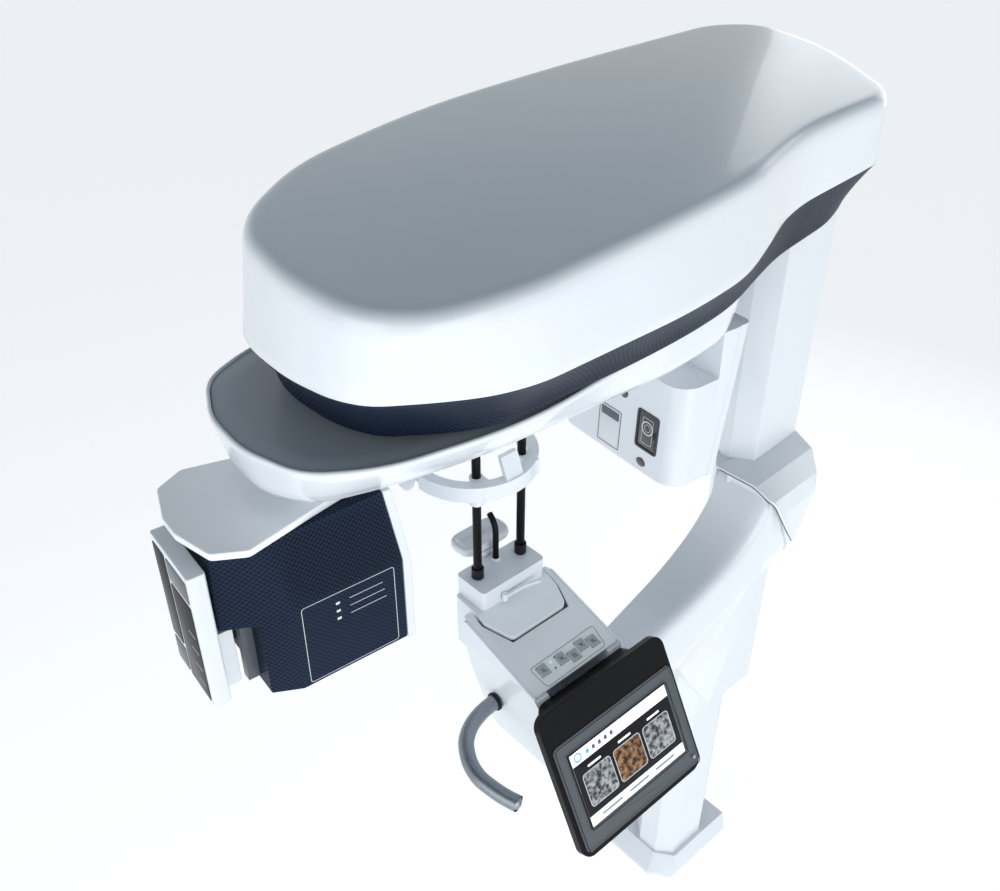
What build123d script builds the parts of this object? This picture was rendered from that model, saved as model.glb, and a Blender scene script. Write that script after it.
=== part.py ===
"""Panoramic dental x-ray machine, built from separate named pieces (millimetres, +Z up).

Origin: on the floor, under the moving column's axis. +X points to the wall behind the column, -Y is the operator's
side (touch screen) and +Y is the patient's side. The lift is drawn 510 mm above its lowest stop.
Everything on the rotating arm is drawn in the arm's own frame and then placed by arm_place().
"""
from build123d import *
import math
import os

# ---------------------------------------------------------------- driving dimensions
WALL = 4.0                      # wall of the plastic covers
GAP = 0.3                       # air between pieces that slide past each other

BASE_PLATE_T = 12.0
BASE_COVER_TOP = 60.0
ANCHOR_SPACING_X = 170.0
ANCHOR_SPACING_Y = 170.0
ANCHOR_MIDDLE_Y = 32.0
ANCHOR_HOLE_R = 6.5

COLUMN_REAR = 121.0             # rear face of the moving column
CARRIAGE_BOTTOM = 590.0         # lower edge of the moving column
CARRIAGE_STEP = 930.0           # above this the carriage loses its patient-side front corner
CARRIAGE_TOP = 1262.0
TRIM_BOTTOM = 1752.0            # underside of the overhead beam
BEAM_WAIST = 1850.0             # joint between the dark trim and the white cover
BEAM_TOP = 1977.0
MAST_TOP = 1225.0
MAST_REAR = 40.0
PEDESTAL_STEP = 410.0           # above this the fixed column loses the same corner
PEDESTAL_TOP = 660.0

ACTUATOR_X = 6.0
ACTUATOR_Y = -15.0
ACTUATOR_TUBE_R = 14.0
ACTUATOR_ROD_R = 8.0

WALL_PLATE_BACK = 262.0
WALL_PLATE_T = 8.0
WALL_PLATE_Y = 75.0             # the plate stands beside the slot, behind the column
WALL_PLATE_Z = 1180.0
WALL_CRANK_X = 172.0            # where the arm turns sideways
WALL_ARM_T = 14.0
WALL_ARM_HEIGHT = 60.0
WALL_SPACING_Y = 100.0
WALL_SPACING_Z = 60.0
WALL_HOLE_R = 5.5

AXIS_X = -598.0                 # rotation axis of the C-arm
AXIS_Y = -15.0
ARM_ANGLE = -5.0                # drawn angle of the C-arm about +Z, degrees
BRIDGE_TOP = 1742.0
BRIDGE_BOTTOM = 1668.0
TUBE_FACE = 255.0               # x-ray outlet face, from the axis
TUBE_BOTTOM = 1395.0
TUBE_SHELF = 1588.0
DETECTOR_INNER = -248.0         # patient side of the detector's dark body, from the axis
DETECTOR_OUTER = -491.0
DETECTOR_BOTTOM = 1385.0
DETECTOR_TOP = 1645.0
SPINDLE_R = 25.0
SPINDLE_BOTTOM = 1731.0
SPINDLE_FLANGE_R = 36.0
SLEEVE_R = 42.0
SLEEVE_BOTTOM = 1792.0
PULLEY_BOTTOM = 1764.0
PULLEY_TOP = 1782.0
BELT_BOTTOM = 1766.0
BELT_TOP = 1780.0
SPINDLE_CLEARANCE = 0.05
DRIVE_PULLEY_R = 60.0
MOTOR_PULLEY_R = 15.0
PULLEY_DISTANCE = 150.0

CONSOLE_X = -615.5              # middle of the console's width
CONSOLE_HALF = 93.5
CONSOLE_SLOPE = 16.7            # slope of the console's top, degrees
CONSOLE_FRONT_Y = -196.0
CONSOLE_FRONT_Z = 1234.0
CONSOLE_BACK_Y = -30.0
CONSOLE_BOTTOM = 1072.0
PLATE_T = 5.0                   # thickness of the console's top plate

SCREEN_CENTRE = (-601.0, -299.0, 1118.0)
SCREEN_TILT = 28.4              # lean of the screen back from vertical, degrees
SCREEN_W = 217.0
SCREEN_H = 125.0
FRAME_W = 260.0
HOUSING_W = 272.0
HOUSING_T = 14.0
HOUSING_POD_T = 35.2             # depth of the pod that joins the screen to the console

ROD_X = (-654.5, -563.5)
ROD_Y = -8.0
ROD_R = 7.0
ROD_TOP = 1556.0
BLOCK_BOTTOM = 1284.0
BLOCK_TOP = 1320.0
RING_BOTTOM = 1490.0
RING_TOP = 1516.0

BUTTON_SIZE = 18.0

# Plan outlines of the base cover's lower and upper edges.
BASE_OUTLINE = [(-123, -31), (-88, -78), (-82, -80), (128, -80), (128, 144), (-82, 144), (-88, 142), (-123, 95)]
BASE_UPPER = [(-97, -25), (-66, -66), (-61, -68), (128, -68), (128, 131), (-61, 131), (-66, 129), (-97, 88)]

# Plan outlines of the column's nested sections.
COLUMN_OUTLINE = [(COLUMN_REAR, -68), (-8, -68), (-31, -24), (-31, -6), (-8, 38), (COLUMN_REAR, 38)]
MAST_OUTLINE = [(MAST_REAR, -53), (-3, -53), (-20, -22), (-20, -8), (8, 25), (MAST_REAR, 25)]
PEDESTAL_OUTLINE = [(-91, -24), (-61, -58), (MAST_REAR, -58), (MAST_REAR, 62), (-61, 62), (-91, 28)]
PEDESTAL_CUT_OUTLINE = [(-77, -40), (-61, -58), (MAST_REAR, -58), (MAST_REAR, 47)]
CARRIAGE_OUTLINE = [
    (COLUMN_REAR, -67), (-16, -67), (-64, -64), (-98, -27), (-98, 31), (-64, 69), (COLUMN_REAR, 69),
]
CARRIAGE_CUT_OUTLINE = [
    (COLUMN_REAR, -67), (-16, -67), (-64, -64), (-88, -37.5), (58, 69), (COLUMN_REAR, 69),
]

# Plan outlines of the overhead beam, corner by corner from its free end.
BEAM_WAIST_OUTLINE = [
    (-978, 20), (-984, -85), (-972, -152), (-952, -190), (-895, -230), (-842, -260), (-785, -275), (-540, -277),
    (-415, -262), (-335, -231), (-225, -184), (-150, -166), (20, -152), (92, -144), (125, -85), (207, 50),
    (250, 220), (170, 300), (-237, 288), (-543, 260), (-800, 185), (-925, 95),
]
TRIM_BOTTOM_OUTLINE = [
    (-925, 31), (-921, -55), (-912, -90), (-895, -125), (-850, -158), (-812, -182), (-770, -198), (-560, -207),
    (-441, -204), (-335, -192), (-235, -160), (-150, -135), (20, -112), (95, -85), (138, -60), (165, 30),
    (170, 110), (110, 170), (-237, 190), (-543, 186), (-770, 140), (-900, 100),
]

# Plan outlines in the arm's own frame, mirrored about its centre line.
BRIDGE_TOP_HALF = [(-421, 42), (-388, 130), (-305, 176), (-120, 199), (222, 139), (335, 120), (404, 64)]
BRIDGE_LOW_HALF = [(-406, 44), (-364, 106), (-285, 126), (-150, 145), (200, 138), (325, 113), (392, 58)]
CAP_HALF = [(-507, 18), (-490, 78), (-450, 99), (-355, 76), (-270, 58)]

# Lift: guide rails on the fixed column, and the slots that the lift frame passes through.
RAIL_Y = (-47.0, 17.0)
RAIL_HALF = 6.0
RAIL_DEPTH = 10.0
SLOT_Y = (-32.0, 2.0)
SLOT_BOTTOM = 870.0
SLOT_TOP = 1732.0
TIE_BOTTOM = 1758.0             # steel tie on which the actuator's rod pushes

# Collar and arm. Sections are (y, z); the arm's side profile is (x, z).
CARRIAGE_WALL = 3.0
CARRIAGE_NOTCH = 1180.0         # above this the arm's root stands where the carriage's nose would be
COLLAR_FRONT = -70.0
ARM_OUTER_Y = -154.0
COLLAR_STEP = 4.0               # how far the collar stands proud of the arm
COLLAR_REAR_SECTION = [(-50, 1276), (-65, 1276), (-107, 1256), (-127, 1212), (-132, 1171), (-109, 1036),
                       (-62, 914), (-50, 914)]
COLLAR_FRONT_SECTION = [(-32, 1258), (-60, 1258), (-116, 1258), (-150, 1236), (ARM_OUTER_Y, 1190),
                        (ARM_OUTER_Y, 1091), (-95, 900), (-32, 900)]
ARM_TOP = [(COLLAR_FRONT, 1256), (-84, 1222), (-166, 1153), (-250, 1122), (-345, 1103), (-525, 1072)]
ARM_END = [(-620, CONSOLE_BOTTOM), (-620, 1020), (-560, 1002)]
ARM_UNDER = [(-400, 960), (-250, 900), (-150, 800), (COLLAR_FRONT, 650)]
ARM_RIDGE = ((-3, ARM_OUTER_Y, 1120), (-293, ARM_OUTER_Y, 994), (121, -62, 914))

# Console and patient handle.
SHUTTLE_OUTLINE = [(-667, -104), (-552, -104), (-540, -70), (-536, 14), (-684, 14), (-688, -60)]
# Middle of each key: X, and distance up the sloping top from its front edge.
BUTTON_PLACES = [(-663.0, 28.5), (-625.0, 28.0), (-604.0, 20.5), (-582.0, 28.0), (-561.0, 22.5)]
HANDLE_R = 12.5
HANDLE_Y = -104.0
HANDLE_Z = 1150.0
HANDLE_DEPTH = 22.0             # how far the socket reaches in from the console's widest point

# Overhead beam and its two-axis slide.
CORNER_SHARE = 0.9
BEAM_EDGE_R = 22.0
TRIM_FLOOR = 5.0
STAGE_X_DOWN = 30.0
STAGE_X_UP = 20.0
STAGE_Y_UP = 80.0
STAGE_RAIL_Y = (-115.0, 155.0)
STAGE_RAIL_TOP = 1900.0
STAGE_RAIL_DEPTH = 14.0
STAGE_RAIL_HALF = 8.0
CROSS_RAIL_OFFSET = 85.0        # the second pair of rails, each side of the axis
Y_SLIDE_HALF = 62.0
Y_SLIDE_TOP = STAGE_RAIL_TOP - STAGE_RAIL_DEPTH - 34 - GAP - 0.2
BRIDGE_RADII = [40, 60, 120, 200, 120, 60, 40]
BRIDGE_WALL = 6.0
SPINE_HALF = 45.0
SPINE_BOTTOM = 1684.0
SPINE_TOP = 1730.0

# Tube head and detector, in the arm's own frame.
TUBE_SEAM_LOW = 340.0
TUBE_SEAM_HIGH = 378.0
TUBE_SIDE_Y = -100.0
TUBE_FAR_Y = 184.0
WINDOW_Y = (-55.0, -10.0)
WINDOW_Z = (1452.0, 1520.0)
BEAM_Y = -32.0                  # middle of the x-ray beam where it leaves the tube head
BEAM_Z = 1486.0
TUBE_RADII = [38, 4, 4, 38]
LASER_PLACES = [(27.0, 1531.0), (-26.0, 1424.0)]
DETECTOR_WAIST = 1525.0         # where the detector's shoulder begins
DETECTOR_SHOULDER = 1634.0
DETECTOR_LEAN = 14.0            # how far the patient side leans away at the shoulder
MODULE_INNER = -494.0
MODULE_OUTER = -518.0

# Chin rest and head support.
BITE_X = -606.0
BITE_Y = 4.0
BITE_R = 5.0
RING_CENTRE = (-612.0, 52.0)
RING_R = 103.0
RING_WIDTH = 18.0
HINGE_R = 7.0                   # knuckle of each temple pad
HINGE_PIN_R = 2.0
HINGE_LUG = 6.0                 # height of the ring's lugs above and below the knuckle
TEMPLE_FLARE = 14.0             # the pads are drawn opened outwards by this angle, degrees
LEVER_PIVOT = (-636.0, -51.5)


# ---------------------------------------------------------------- helpers
def box(x0, x1, y0, y1, z0, z1):
    """A block between two corners."""
    return Pos((x0 + x1) / 2, (y0 + y1) / 2, (z0 + z1) / 2) * Box(x1 - x0, y1 - y0, z1 - z0)


def rod(x, y, z0, z1, r):
    """An upright cylinder."""
    return Pos(x, y, (z0 + z1) / 2) * Cylinder(r, z1 - z0)


def outline(points, radii=0.0, z=0.0):
    """A flat face at height z from corner points, with rounded corners."""
    corners = [(x, y, z) for x, y in points]
    return make_face(FilletPolyline(*corners, radius=radii, close=True))


def soft_radii(points, share):
    """One radius per corner; share 1 makes neighbouring arcs meet halfway along their edge."""
    radii = []
    for i in range(len(points)):
        here = Vector(*points[i])
        into = here - Vector(*points[i - 1])
        out = Vector(*points[(i + 1) % len(points)]) - here
        half_turn = math.radians(into.get_angle(out)) / 2
        radii.append(share * min(into.length, out.length) / 2 / math.tan(half_turn))
    return radii


def prism(points, z0, z1, radii=0.0):
    """An upright prism over an outline."""
    return extrude(outline(points, radii, z0), amount=z1 - z0, dir=(0, 0, 1))


def grown(points, distance):
    """The outline's corner points moved outwards by distance (inwards when negative)."""
    count = len(points)
    area = sum(points[i][0] * points[(i + 1) % count][1] - points[(i + 1) % count][0] * points[i][1]
               for i in range(count))
    turn = 1.0 if area > 0 else -1.0
    moved = []
    for i in range(count):
        before = Vector(*points[i - 1], 0)
        here = Vector(*points[i], 0)
        after = Vector(*points[(i + 1) % count], 0)
        into = (here - before).normalized()
        out = (after - here).normalized()
        normal_in = Vector(into.Y, -into.X, 0) * turn
        normal_out = Vector(out.Y, -out.X, 0) * turn
        shift = (normal_in + normal_out) * (distance / (1.0 + normal_in.dot(normal_out)))
        moved.append((here.X + shift.X, here.Y + shift.Y))
    return moved


def mirrored(half):
    """A closed outline from the points of its +Y half, listed from -X to +X."""
    return half + [(x, -y) for x, y in reversed(half)]


def lofted(low, z0, high, z1, radii):
    """A straight-sided solid between two outlines with the same number of corners."""
    return loft([outline(low, radii, z0), outline(high, radii, z1)], ruled=True)


def soft_lofted(low, z0, high, z1, share):
    """The same, with every corner rounded in proportion to the edges that meet there."""
    faces = [outline(low, soft_radii(low, share), z0), outline(high, soft_radii(high, share), z1)]
    return loft(faces, ruled=True)


def side_profile(points, y0, y1, radii=0.0):
    """A solid with a profile given in X and Z, between y0 and y1."""
    corners = [(x, y0, z) for x, z in points]
    face = make_face(FilletPolyline(*corners, radius=radii, close=True))
    return extrude(face, amount=y1 - y0, dir=(0, 1, 0))


def end_profile(points, x0, x1, radii=0.0):
    """A solid with a profile given in Y and Z, between x0 and x1."""
    corners = [(x0, y, z) for y, z in points]
    face = make_face(FilletPolyline(*corners, radius=radii, close=True))
    return extrude(face, amount=x1 - x0, dir=(1, 0, 0))


def rounded_slab(width, height, thickness, radius):
    """A slab on the local XY plane, its top face at z = 0, with rounded corners."""
    face = RectangleRounded(width, height, radius)
    return extrude(face, amount=-thickness)


def arm_place(shape):
    """Moves a shape from the C-arm's own frame to the machine."""
    return Pos(AXIS_X, AXIS_Y, 0) * Rot(0, 0, ARM_ANGLE) * shape


def group(shapes):
    """Separate solids kept side by side in one node."""
    return Compound(children=list(shapes))


def lean(y, z, degrees_back):
    """A frame whose XY plane leans back, facing the operator, with local Y uphill."""
    angle = math.radians(degrees_back)
    normal = (0, -math.sin(angle), math.cos(angle))
    return Plane(origin=(0, y, z), x_dir=(1, 0, 0), z_dir=normal).location


CONSOLE_FRAME = lean(CONSOLE_FRONT_Y, CONSOLE_FRONT_Z, CONSOLE_SLOPE)
SCREEN_FRAME = Pos(SCREEN_CENTRE[0], 0, 0) * lean(SCREEN_CENTRE[1], SCREEN_CENTRE[2], 90 - SCREEN_TILT)


# ---------------------------------------------------------------- floor base and fixed column
def base_plate():
    plate = prism(grown(BASE_OUTLINE, -6), 0, BASE_PLATE_T)
    for sx in (-1, 1):
        for sy in (-1, 1):
            plate -= rod(sx * ANCHOR_SPACING_X / 2, ANCHOR_MIDDLE_Y + sy * ANCHOR_SPACING_Y / 2,
                         -1, BASE_PLATE_T + 1, ANCHOR_HOLE_R)
    return plate


def base_cover():
    """Bevelled skirt with a flat lid; the column passes through the lid."""
    skirt_edge = 10.0
    body = prism(BASE_OUTLINE, 0, skirt_edge) + lofted(BASE_OUTLINE, skirt_edge, BASE_UPPER, BASE_COVER_TOP, 0)
    inside = grown(BASE_OUTLINE, -5)
    hollow = prism(inside, -1, skirt_edge + 3)
    hollow += lofted(inside, skirt_edge + 3, grown(BASE_UPPER, -5), BASE_COVER_TOP - WALL, 0)
    hole = prism(grown(PEDESTAL_OUTLINE, -WALL - 1), 0, BASE_COVER_TOP + 1)
    hole += box(MAST_REAR - 10, MAST_REAR + 1, MAST_OUTLINE[0][1] - 1, MAST_OUTLINE[-1][1] + 1,
                0, BASE_COVER_TOP + 1)
    return body - hollow - hole


def fixed_column():
    """Aluminium extrusion, hollow, that stands on the plate."""
    tube = prism(MAST_OUTLINE, BASE_PLATE_T, MAST_TOP, 3)
    tube -= prism(grown(MAST_OUTLINE, -5), BASE_PLATE_T - 1, MAST_TOP + 1)
    return tube - box(-30, ACTUATOR_X, ACTUATOR_Y - 10, ACTUATOR_Y + 10, BASE_PLATE_T - 1, 50)


def guide_rails():
    return group([box(MAST_REAR, MAST_REAR + RAIL_DEPTH, y - RAIL_HALF, y + RAIL_HALF, 70, MAST_TOP - 5)
                  for y in RAIL_Y])


def open_shell(points, z0, z1, wall):
    """A sleeve with the outline's shape, open at the mast's rear face."""
    sleeve = prism(points, z0, z1) - prism(grown(points, -wall), z0 - 1, z1 + 1)
    sleeve -= prism(grown(MAST_OUTLINE, 0.5), z0 - 1, z1 + 1)
    return sleeve - box(MAST_REAR - wall - 1, MAST_REAR + 1, MAST_OUTLINE[0][1] - 1, MAST_OUTLINE[-1][1] + 1,
                        z0 - 1, z1 + 1)


def pedestal_cover():
    """Fixed lower cover; its front corner is cut back above PEDESTAL_STEP."""
    lower = open_shell(PEDESTAL_OUTLINE, BASE_COVER_TOP, PEDESTAL_STEP, WALL)
    upper = open_shell(PEDESTAL_CUT_OUTLINE, PEDESTAL_STEP, PEDESTAL_TOP, WALL)
    ledge = prism(PEDESTAL_OUTLINE, PEDESTAL_STEP - WALL, PEDESTAL_STEP)
    ledge -= prism(grown(PEDESTAL_CUT_OUTLINE, -WALL), PEDESTAL_STEP - WALL - 1, PEDESTAL_STEP + 1)
    ledge -= prism(grown(MAST_OUTLINE, 0.5), PEDESTAL_STEP - WALL - 1, PEDESTAL_STEP + 1)
    return lower + upper + ledge


def lift_actuator():
    """Gearmotor at the foot and the tube that its screw runs in, inside the fixed column."""
    motor = rod(-56, ACTUATOR_Y, 40, 230, 20) + box(-76, -24, ACTUATOR_Y - 24, ACTUATOR_Y + 24, BASE_PLATE_T, 54)
    tube = rod(ACTUATOR_X, ACTUATOR_Y, BASE_PLATE_T, MAST_TOP - 10, ACTUATOR_TUBE_R)
    tube -= rod(ACTUATOR_X, ACTUATOR_Y, 300, MAST_TOP, ACTUATOR_ROD_R + 0.5)
    link = box(-30, ACTUATOR_X, ACTUATOR_Y - 9, ACTUATOR_Y + 9, 16, 44)
    return motor + tube + link


def lift_actuator_rod():
    return rod(ACTUATOR_X, ACTUATOR_Y, 870, TIE_BOTTOM, ACTUATOR_ROD_R)


def wall_bracket():
    """Cranked arm from the fixed column through the slot in the moving one, with a wall plate."""
    z0 = WALL_PLATE_Z - WALL_ARM_HEIGHT / 2
    z1 = WALL_PLATE_Z + WALL_ARM_HEIGHT / 2
    half_y = (SLOT_Y[1] - SLOT_Y[0]) / 2 - 4
    mid_y = (SLOT_Y[0] + SLOT_Y[1]) / 2
    crank = WALL_CRANK_X + WALL_ARM_T
    plate_front = WALL_PLATE_BACK - WALL_PLATE_T
    bracket = box(MAST_REAR, crank, mid_y - half_y, mid_y + half_y, z0, z1)
    bracket -= box(MAST_REAR + 14, WALL_CRANK_X, mid_y - half_y + 5, mid_y + half_y - 5, z0 - 1, z1 + 1)
    bracket += box(WALL_CRANK_X, crank, mid_y - half_y, WALL_PLATE_Y + WALL_ARM_T, z0, z1)
    bracket += box(WALL_CRANK_X, plate_front, WALL_PLATE_Y, WALL_PLATE_Y + WALL_ARM_T, z0, z1)
    bracket += box(plate_front, WALL_PLATE_BACK, WALL_PLATE_Y - 60, WALL_PLATE_Y + 60,
                   WALL_PLATE_Z - 48, WALL_PLATE_Z + 48)
    for sy in (-1, 1):
        for sz in (-1, 1):
            hole = Rot(0, 90, 0) * Cylinder(WALL_HOLE_R, 40)
            bracket -= Pos(WALL_PLATE_BACK, WALL_PLATE_Y + sy * WALL_SPACING_Y / 2,
                           WALL_PLATE_Z + sz * WALL_SPACING_Z / 2) * hole
    return bracket


# ---------------------------------------------------------------- moving column


def rear_slot():
    """Space that keeps the moving column clear of the wall bracket."""
    return box(COLUMN_REAR - 10, COLUMN_REAR + 1, SLOT_Y[0], SLOT_Y[1], SLOT_BOTTOM, SLOT_TOP)


def carriage_cover():
    """Lower cover of the moving column; it telescopes over the pedestal."""
    lower = prism(CARRIAGE_OUTLINE, CARRIAGE_BOTTOM, CARRIAGE_STEP)
    lower -= prism(grown(CARRIAGE_OUTLINE, -CARRIAGE_WALL), CARRIAGE_BOTTOM - 1, CARRIAGE_STEP - WALL)
    upper = prism(CARRIAGE_CUT_OUTLINE, CARRIAGE_STEP - 1, CARRIAGE_TOP)
    hollow = prism(grown(CARRIAGE_CUT_OUTLINE, -CARRIAGE_WALL), CARRIAGE_STEP - WALL - 2, CARRIAGE_TOP - WALL)
    cover = lower + upper - hollow - rear_slot()
    cover -= box(-120, COLLAR_FRONT, -80, 80, CARRIAGE_NOTCH, CARRIAGE_TOP + 1)
    return cover - prism(COLUMN_OUTLINE, CARRIAGE_TOP - WALL - 1, CARRIAGE_TOP + 1)


def column_cover():
    tube = prism(COLUMN_OUTLINE, CARRIAGE_TOP - WALL, TRIM_BOTTOM + 10, 4)
    tube -= prism(grown(COLUMN_OUTLINE, -WALL), CARRIAGE_TOP - WALL - 1, TRIM_BOTTOM + 11)
    return tube - rear_slot()


def lift_frame():
    """Two uprights joined at both ends; the wall bracket passes between them."""
    x0, x1 = 72.0, 80.0
    frame = box(x0, x1, -60, 30, 620, TIE_BOTTOM)
    return frame - box(x0 - 1, x1 + 1, SLOT_Y[0], SLOT_Y[1], 650, SLOT_TOP)


def guide_blocks():
    """Four bearing blocks that hold the lift frame on the two rails."""
    blocks = []
    for y in RAIL_Y:
        for z in (630.0, 890.0):
            block = box(MAST_REAR + 2, 72, y - 12, y + 12, z, z + 60)
            block -= box(MAST_REAR, MAST_REAR + RAIL_DEPTH + GAP, y - RAIL_HALF - GAP,
                         y + RAIL_HALF + GAP, z - 1, z + 61)
            blocks.append(block)
    return group(blocks)


def shoulder(step):
    """Solid of the arm's root along the column's operator side."""
    rear = [(COLUMN_REAR, y, z) for y, z in grown(COLLAR_REAR_SECTION, step)]
    front = [(COLLAR_FRONT, y, z) for y, z in grown(COLLAR_FRONT_SECTION, step)]
    faces = [make_face(Polyline(*rear, close=True)), make_face(Polyline(*front, close=True))]
    whole = loft(faces, ruled=True) - prism(CARRIAGE_OUTLINE, 800, CARRIAGE_NOTCH)
    whole -= prism(CARRIAGE_CUT_OUTLINE, CARRIAGE_STEP - 1, CARRIAGE_TOP)
    return whole - prism(COLUMN_OUTLINE, 1200, 1300)


def above_seam(offset):
    """Everything behind and above the slanted joint between collar and arm."""
    profile = [(-68 + offset, 1290), (-68 + offset, 1258), (35 + offset, 1100), (140, 960), (160, 1290)]
    return side_profile(profile, -200, 100)


def collar_cover():
    """Raised band where the arm leaves the column."""
    core = side_profile([(-50, 1230), (34, 1125), (110, 1125), (110, 1230)], -118, -75)
    collar = shoulder(COLLAR_STEP) & above_seam(0)
    return (collar - core).solids().sort_by(SortBy.VOLUME)[-1]


def arm_cover():
    """Curved arm from the collar to the underside of the console."""
    radii = [0, 40, 150, 200, 300, 0, 0, 20, 60, 250, 250, 300, 0]
    arm = side_profile(ARM_TOP + ARM_END + ARM_UNDER, ARM_OUTER_Y, -32, radii)
    arm -= prism([(COLLAR_FRONT + 10, -32), (COLLAR_FRONT + 10, 40), (-640, 40), (-640, -92)], 600, 1300)
    arm -= prism(CARRIAGE_OUTLINE, 600, CARRIAGE_NOTCH)
    start, along, across = (Vector(*point) for point in ARM_RIDGE)
    facet = Plane(origin=start, x_dir=along - start, z_dir=(across - start).cross(along - start))
    arm = split(arm, bisect_by=facet, keep=Keep.TOP)
    core = side_profile([(-110, 1160), (-220, 1105), (-345, 1080), (-520, 1050), (-520, 1020), (-345, 1024),
                         (-200, 1056), (-110, 1085)], -140, -98)
    root = shoulder(0) - above_seam(-0.5)
    return arm - core + root.solids().sort_by(SortBy.VOLUME)[-1]


def arm_beam():
    """Steel beam inside the arm's cover."""
    profile = [(-112, 1150), (-220, 1098), (-345, 1072), (-512, 1044), (-512, 1026), (-345, 1034),
               (-200, 1066), (-112, 1100)]
    return side_profile(profile, -136, -102)


# ---------------------------------------------------------------- console, screen, handle
def console_profile():
    return [(CONSOLE_BACK_Y, 1284), (CONSOLE_FRONT_Y, CONSOLE_FRONT_Z), (-255, 1125), (-235, CONSOLE_BOTTOM),
            (-83, CONSOLE_BOTTOM), (-47, 1180)]


def shuttle_hole(z0, z1):
    """Space that the chin support's shuttle moves in."""
    return prism(grown(SHUTTLE_OUTLINE, 4), z0, z1)


def console_body():
    x0, x1 = CONSOLE_X - CONSOLE_HALF, CONSOLE_X + CONSOLE_HALF
    body = end_profile(console_profile(), x0, x1, [10, 6, 20, 25, 25, 20])
    lean_in = 22.0
    for side in (-1, 1):
        edge = CONSOLE_X + side * CONSOLE_HALF
        wedge = side_profile([(edge, 1235), (edge - side * lean_in, CONSOLE_BOTTOM - 5),
                              (edge + side * 30, CONSOLE_BOTTOM - 5)], -300, 20)
        body -= wedge
    inner = end_profile([(CONSOLE_BACK_Y - 8, 1290), (CONSOLE_FRONT_Y + 2, 1245), (-246, 1125),
                         (-230, CONSOLE_BOTTOM + 5), (-87, CONSOLE_BOTTOM + 5), (-53, 1180)],
                        x0 + 28, x1 - 28)
    seat = CONSOLE_FRAME * Pos(CONSOLE_X, 87, 0) * Box(2 * CONSOLE_HALF - 8, 184, 2 * PLATE_T)
    socket = Pos(x0, HANDLE_Y, HANDLE_Z) * Rot(0, 90, 0) * Cylinder(HANDLE_R + 0.1, 2 * HANDLE_DEPTH)
    return body - inner - seat - shuttle_hole(1185, 1300) - socket


def console_top():
    plate = CONSOLE_FRAME * Pos(CONSOLE_X, 86.5, 0) * rounded_slab(2 * CONSOLE_HALF - 9, 171, PLATE_T - 0.2, 5)
    plate -= shuttle_hole(1200, 1300)
    for x, u in BUTTON_PLACES:
        plate -= CONSOLE_FRAME * Pos(x, u, 0) * Box(BUTTON_SIZE + 1, BUTTON_SIZE + 1, 30)
    return plate


def console_button(index):
    x, u = BUTTON_PLACES[index]
    cap = Pos(0, 0, 2) * rounded_slab(BUTTON_SIZE, BUTTON_SIZE, 2 + PLATE_T - 0.5, 4)
    return CONSOLE_FRAME * Pos(x, u, 0) * cap


def monitor_housing():
    """Black back shell; its pod fills the space up to the console's front."""
    slab = SCREEN_FRAME * Pos(-3, 19, 0) * rounded_slab(HOUSING_W, 242, HOUSING_T, 22)
    pod = SCREEN_FRAME * Pos(-12, 84, -1) * rounded_slab(196, 110, HOUSING_POD_T - 1, 16)
    pocket = SCREEN_FRAME * Pos(0, -4.5, 0) * rounded_slab(FRAME_W + 0.4, 180.4, 8, 10.2)
    return slab + pod - pocket


def monitor_frame():
    frame = SCREEN_FRAME * Pos(0, -4.5, 0.5) * rounded_slab(FRAME_W, 180, 7, 10)
    return frame - SCREEN_FRAME * Pos(0, 0, 2) * Box(SCREEN_W + 0.4, SCREEN_H + 0.4, 8)


def touch_screen():
    return SCREEN_FRAME * rounded_slab(SCREEN_W, SCREEN_H, 2, 1)


def handle():
    """Bent tube that the patient holds, flat at the level of its socket."""
    x0 = CONSOLE_X - CONSOLE_HALF + HANDLE_DEPTH
    corners = [(x0, HANDLE_Y), (-797, HANDLE_Y), (-826, -205), (-805, -275)]
    path = FilletPolyline(*[(x, y, HANDLE_Z) for x, y in corners], radius=[100, 85])
    return sweep(Plane(origin=path @ 0, z_dir=path % 0) * Circle(HANDLE_R), path=path)


# ---------------------------------------------------------------- overhead beam
def beam_top_cover():
    inset = 6.0
    roof = grown(BEAM_WAIST_OUTLINE, -inset)
    shell = soft_lofted(BEAM_WAIST_OUTLINE, BEAM_WAIST, roof, BEAM_TOP, CORNER_SHARE)
    top = shell.faces().sort_by(Axis.Z)[-1]
    shell = fillet(top.edges(), BEAM_EDGE_R)
    inner = soft_lofted(grown(BEAM_WAIST_OUTLINE, -8), BEAM_WAIST - 1, grown(BEAM_WAIST_OUTLINE, -BEAM_EDGE_R),
                        BEAM_TOP - 8, CORNER_SHARE)
    return shell - inner


def beam_trim():
    """Dark tray under the cover, with the opening that the spindle moves in."""
    waist = grown(BEAM_WAIST_OUTLINE, -6)
    tray = soft_lofted(TRIM_BOTTOM_OUTLINE, TRIM_BOTTOM, waist, BEAM_WAIST, CORNER_SHARE)
    tray -= soft_lofted(grown(TRIM_BOTTOM_OUTLINE, -8), TRIM_BOTTOM + TRIM_FLOOR, grown(waist, -8),
                        BEAM_WAIST + 1, CORNER_SHARE)
    tray -= prism(grown(COLUMN_OUTLINE, 0.2), TRIM_BOTTOM - 1, TRIM_BOTTOM + 30)
    opening = box(AXIS_X - STAGE_X_DOWN - 45, AXIS_X + STAGE_X_UP + 45, AXIS_Y - 45, AXIS_Y + STAGE_Y_UP + 45,
                  TRIM_BOTTOM - 1, TRIM_BOTTOM + 30)
    return tray - opening


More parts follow.
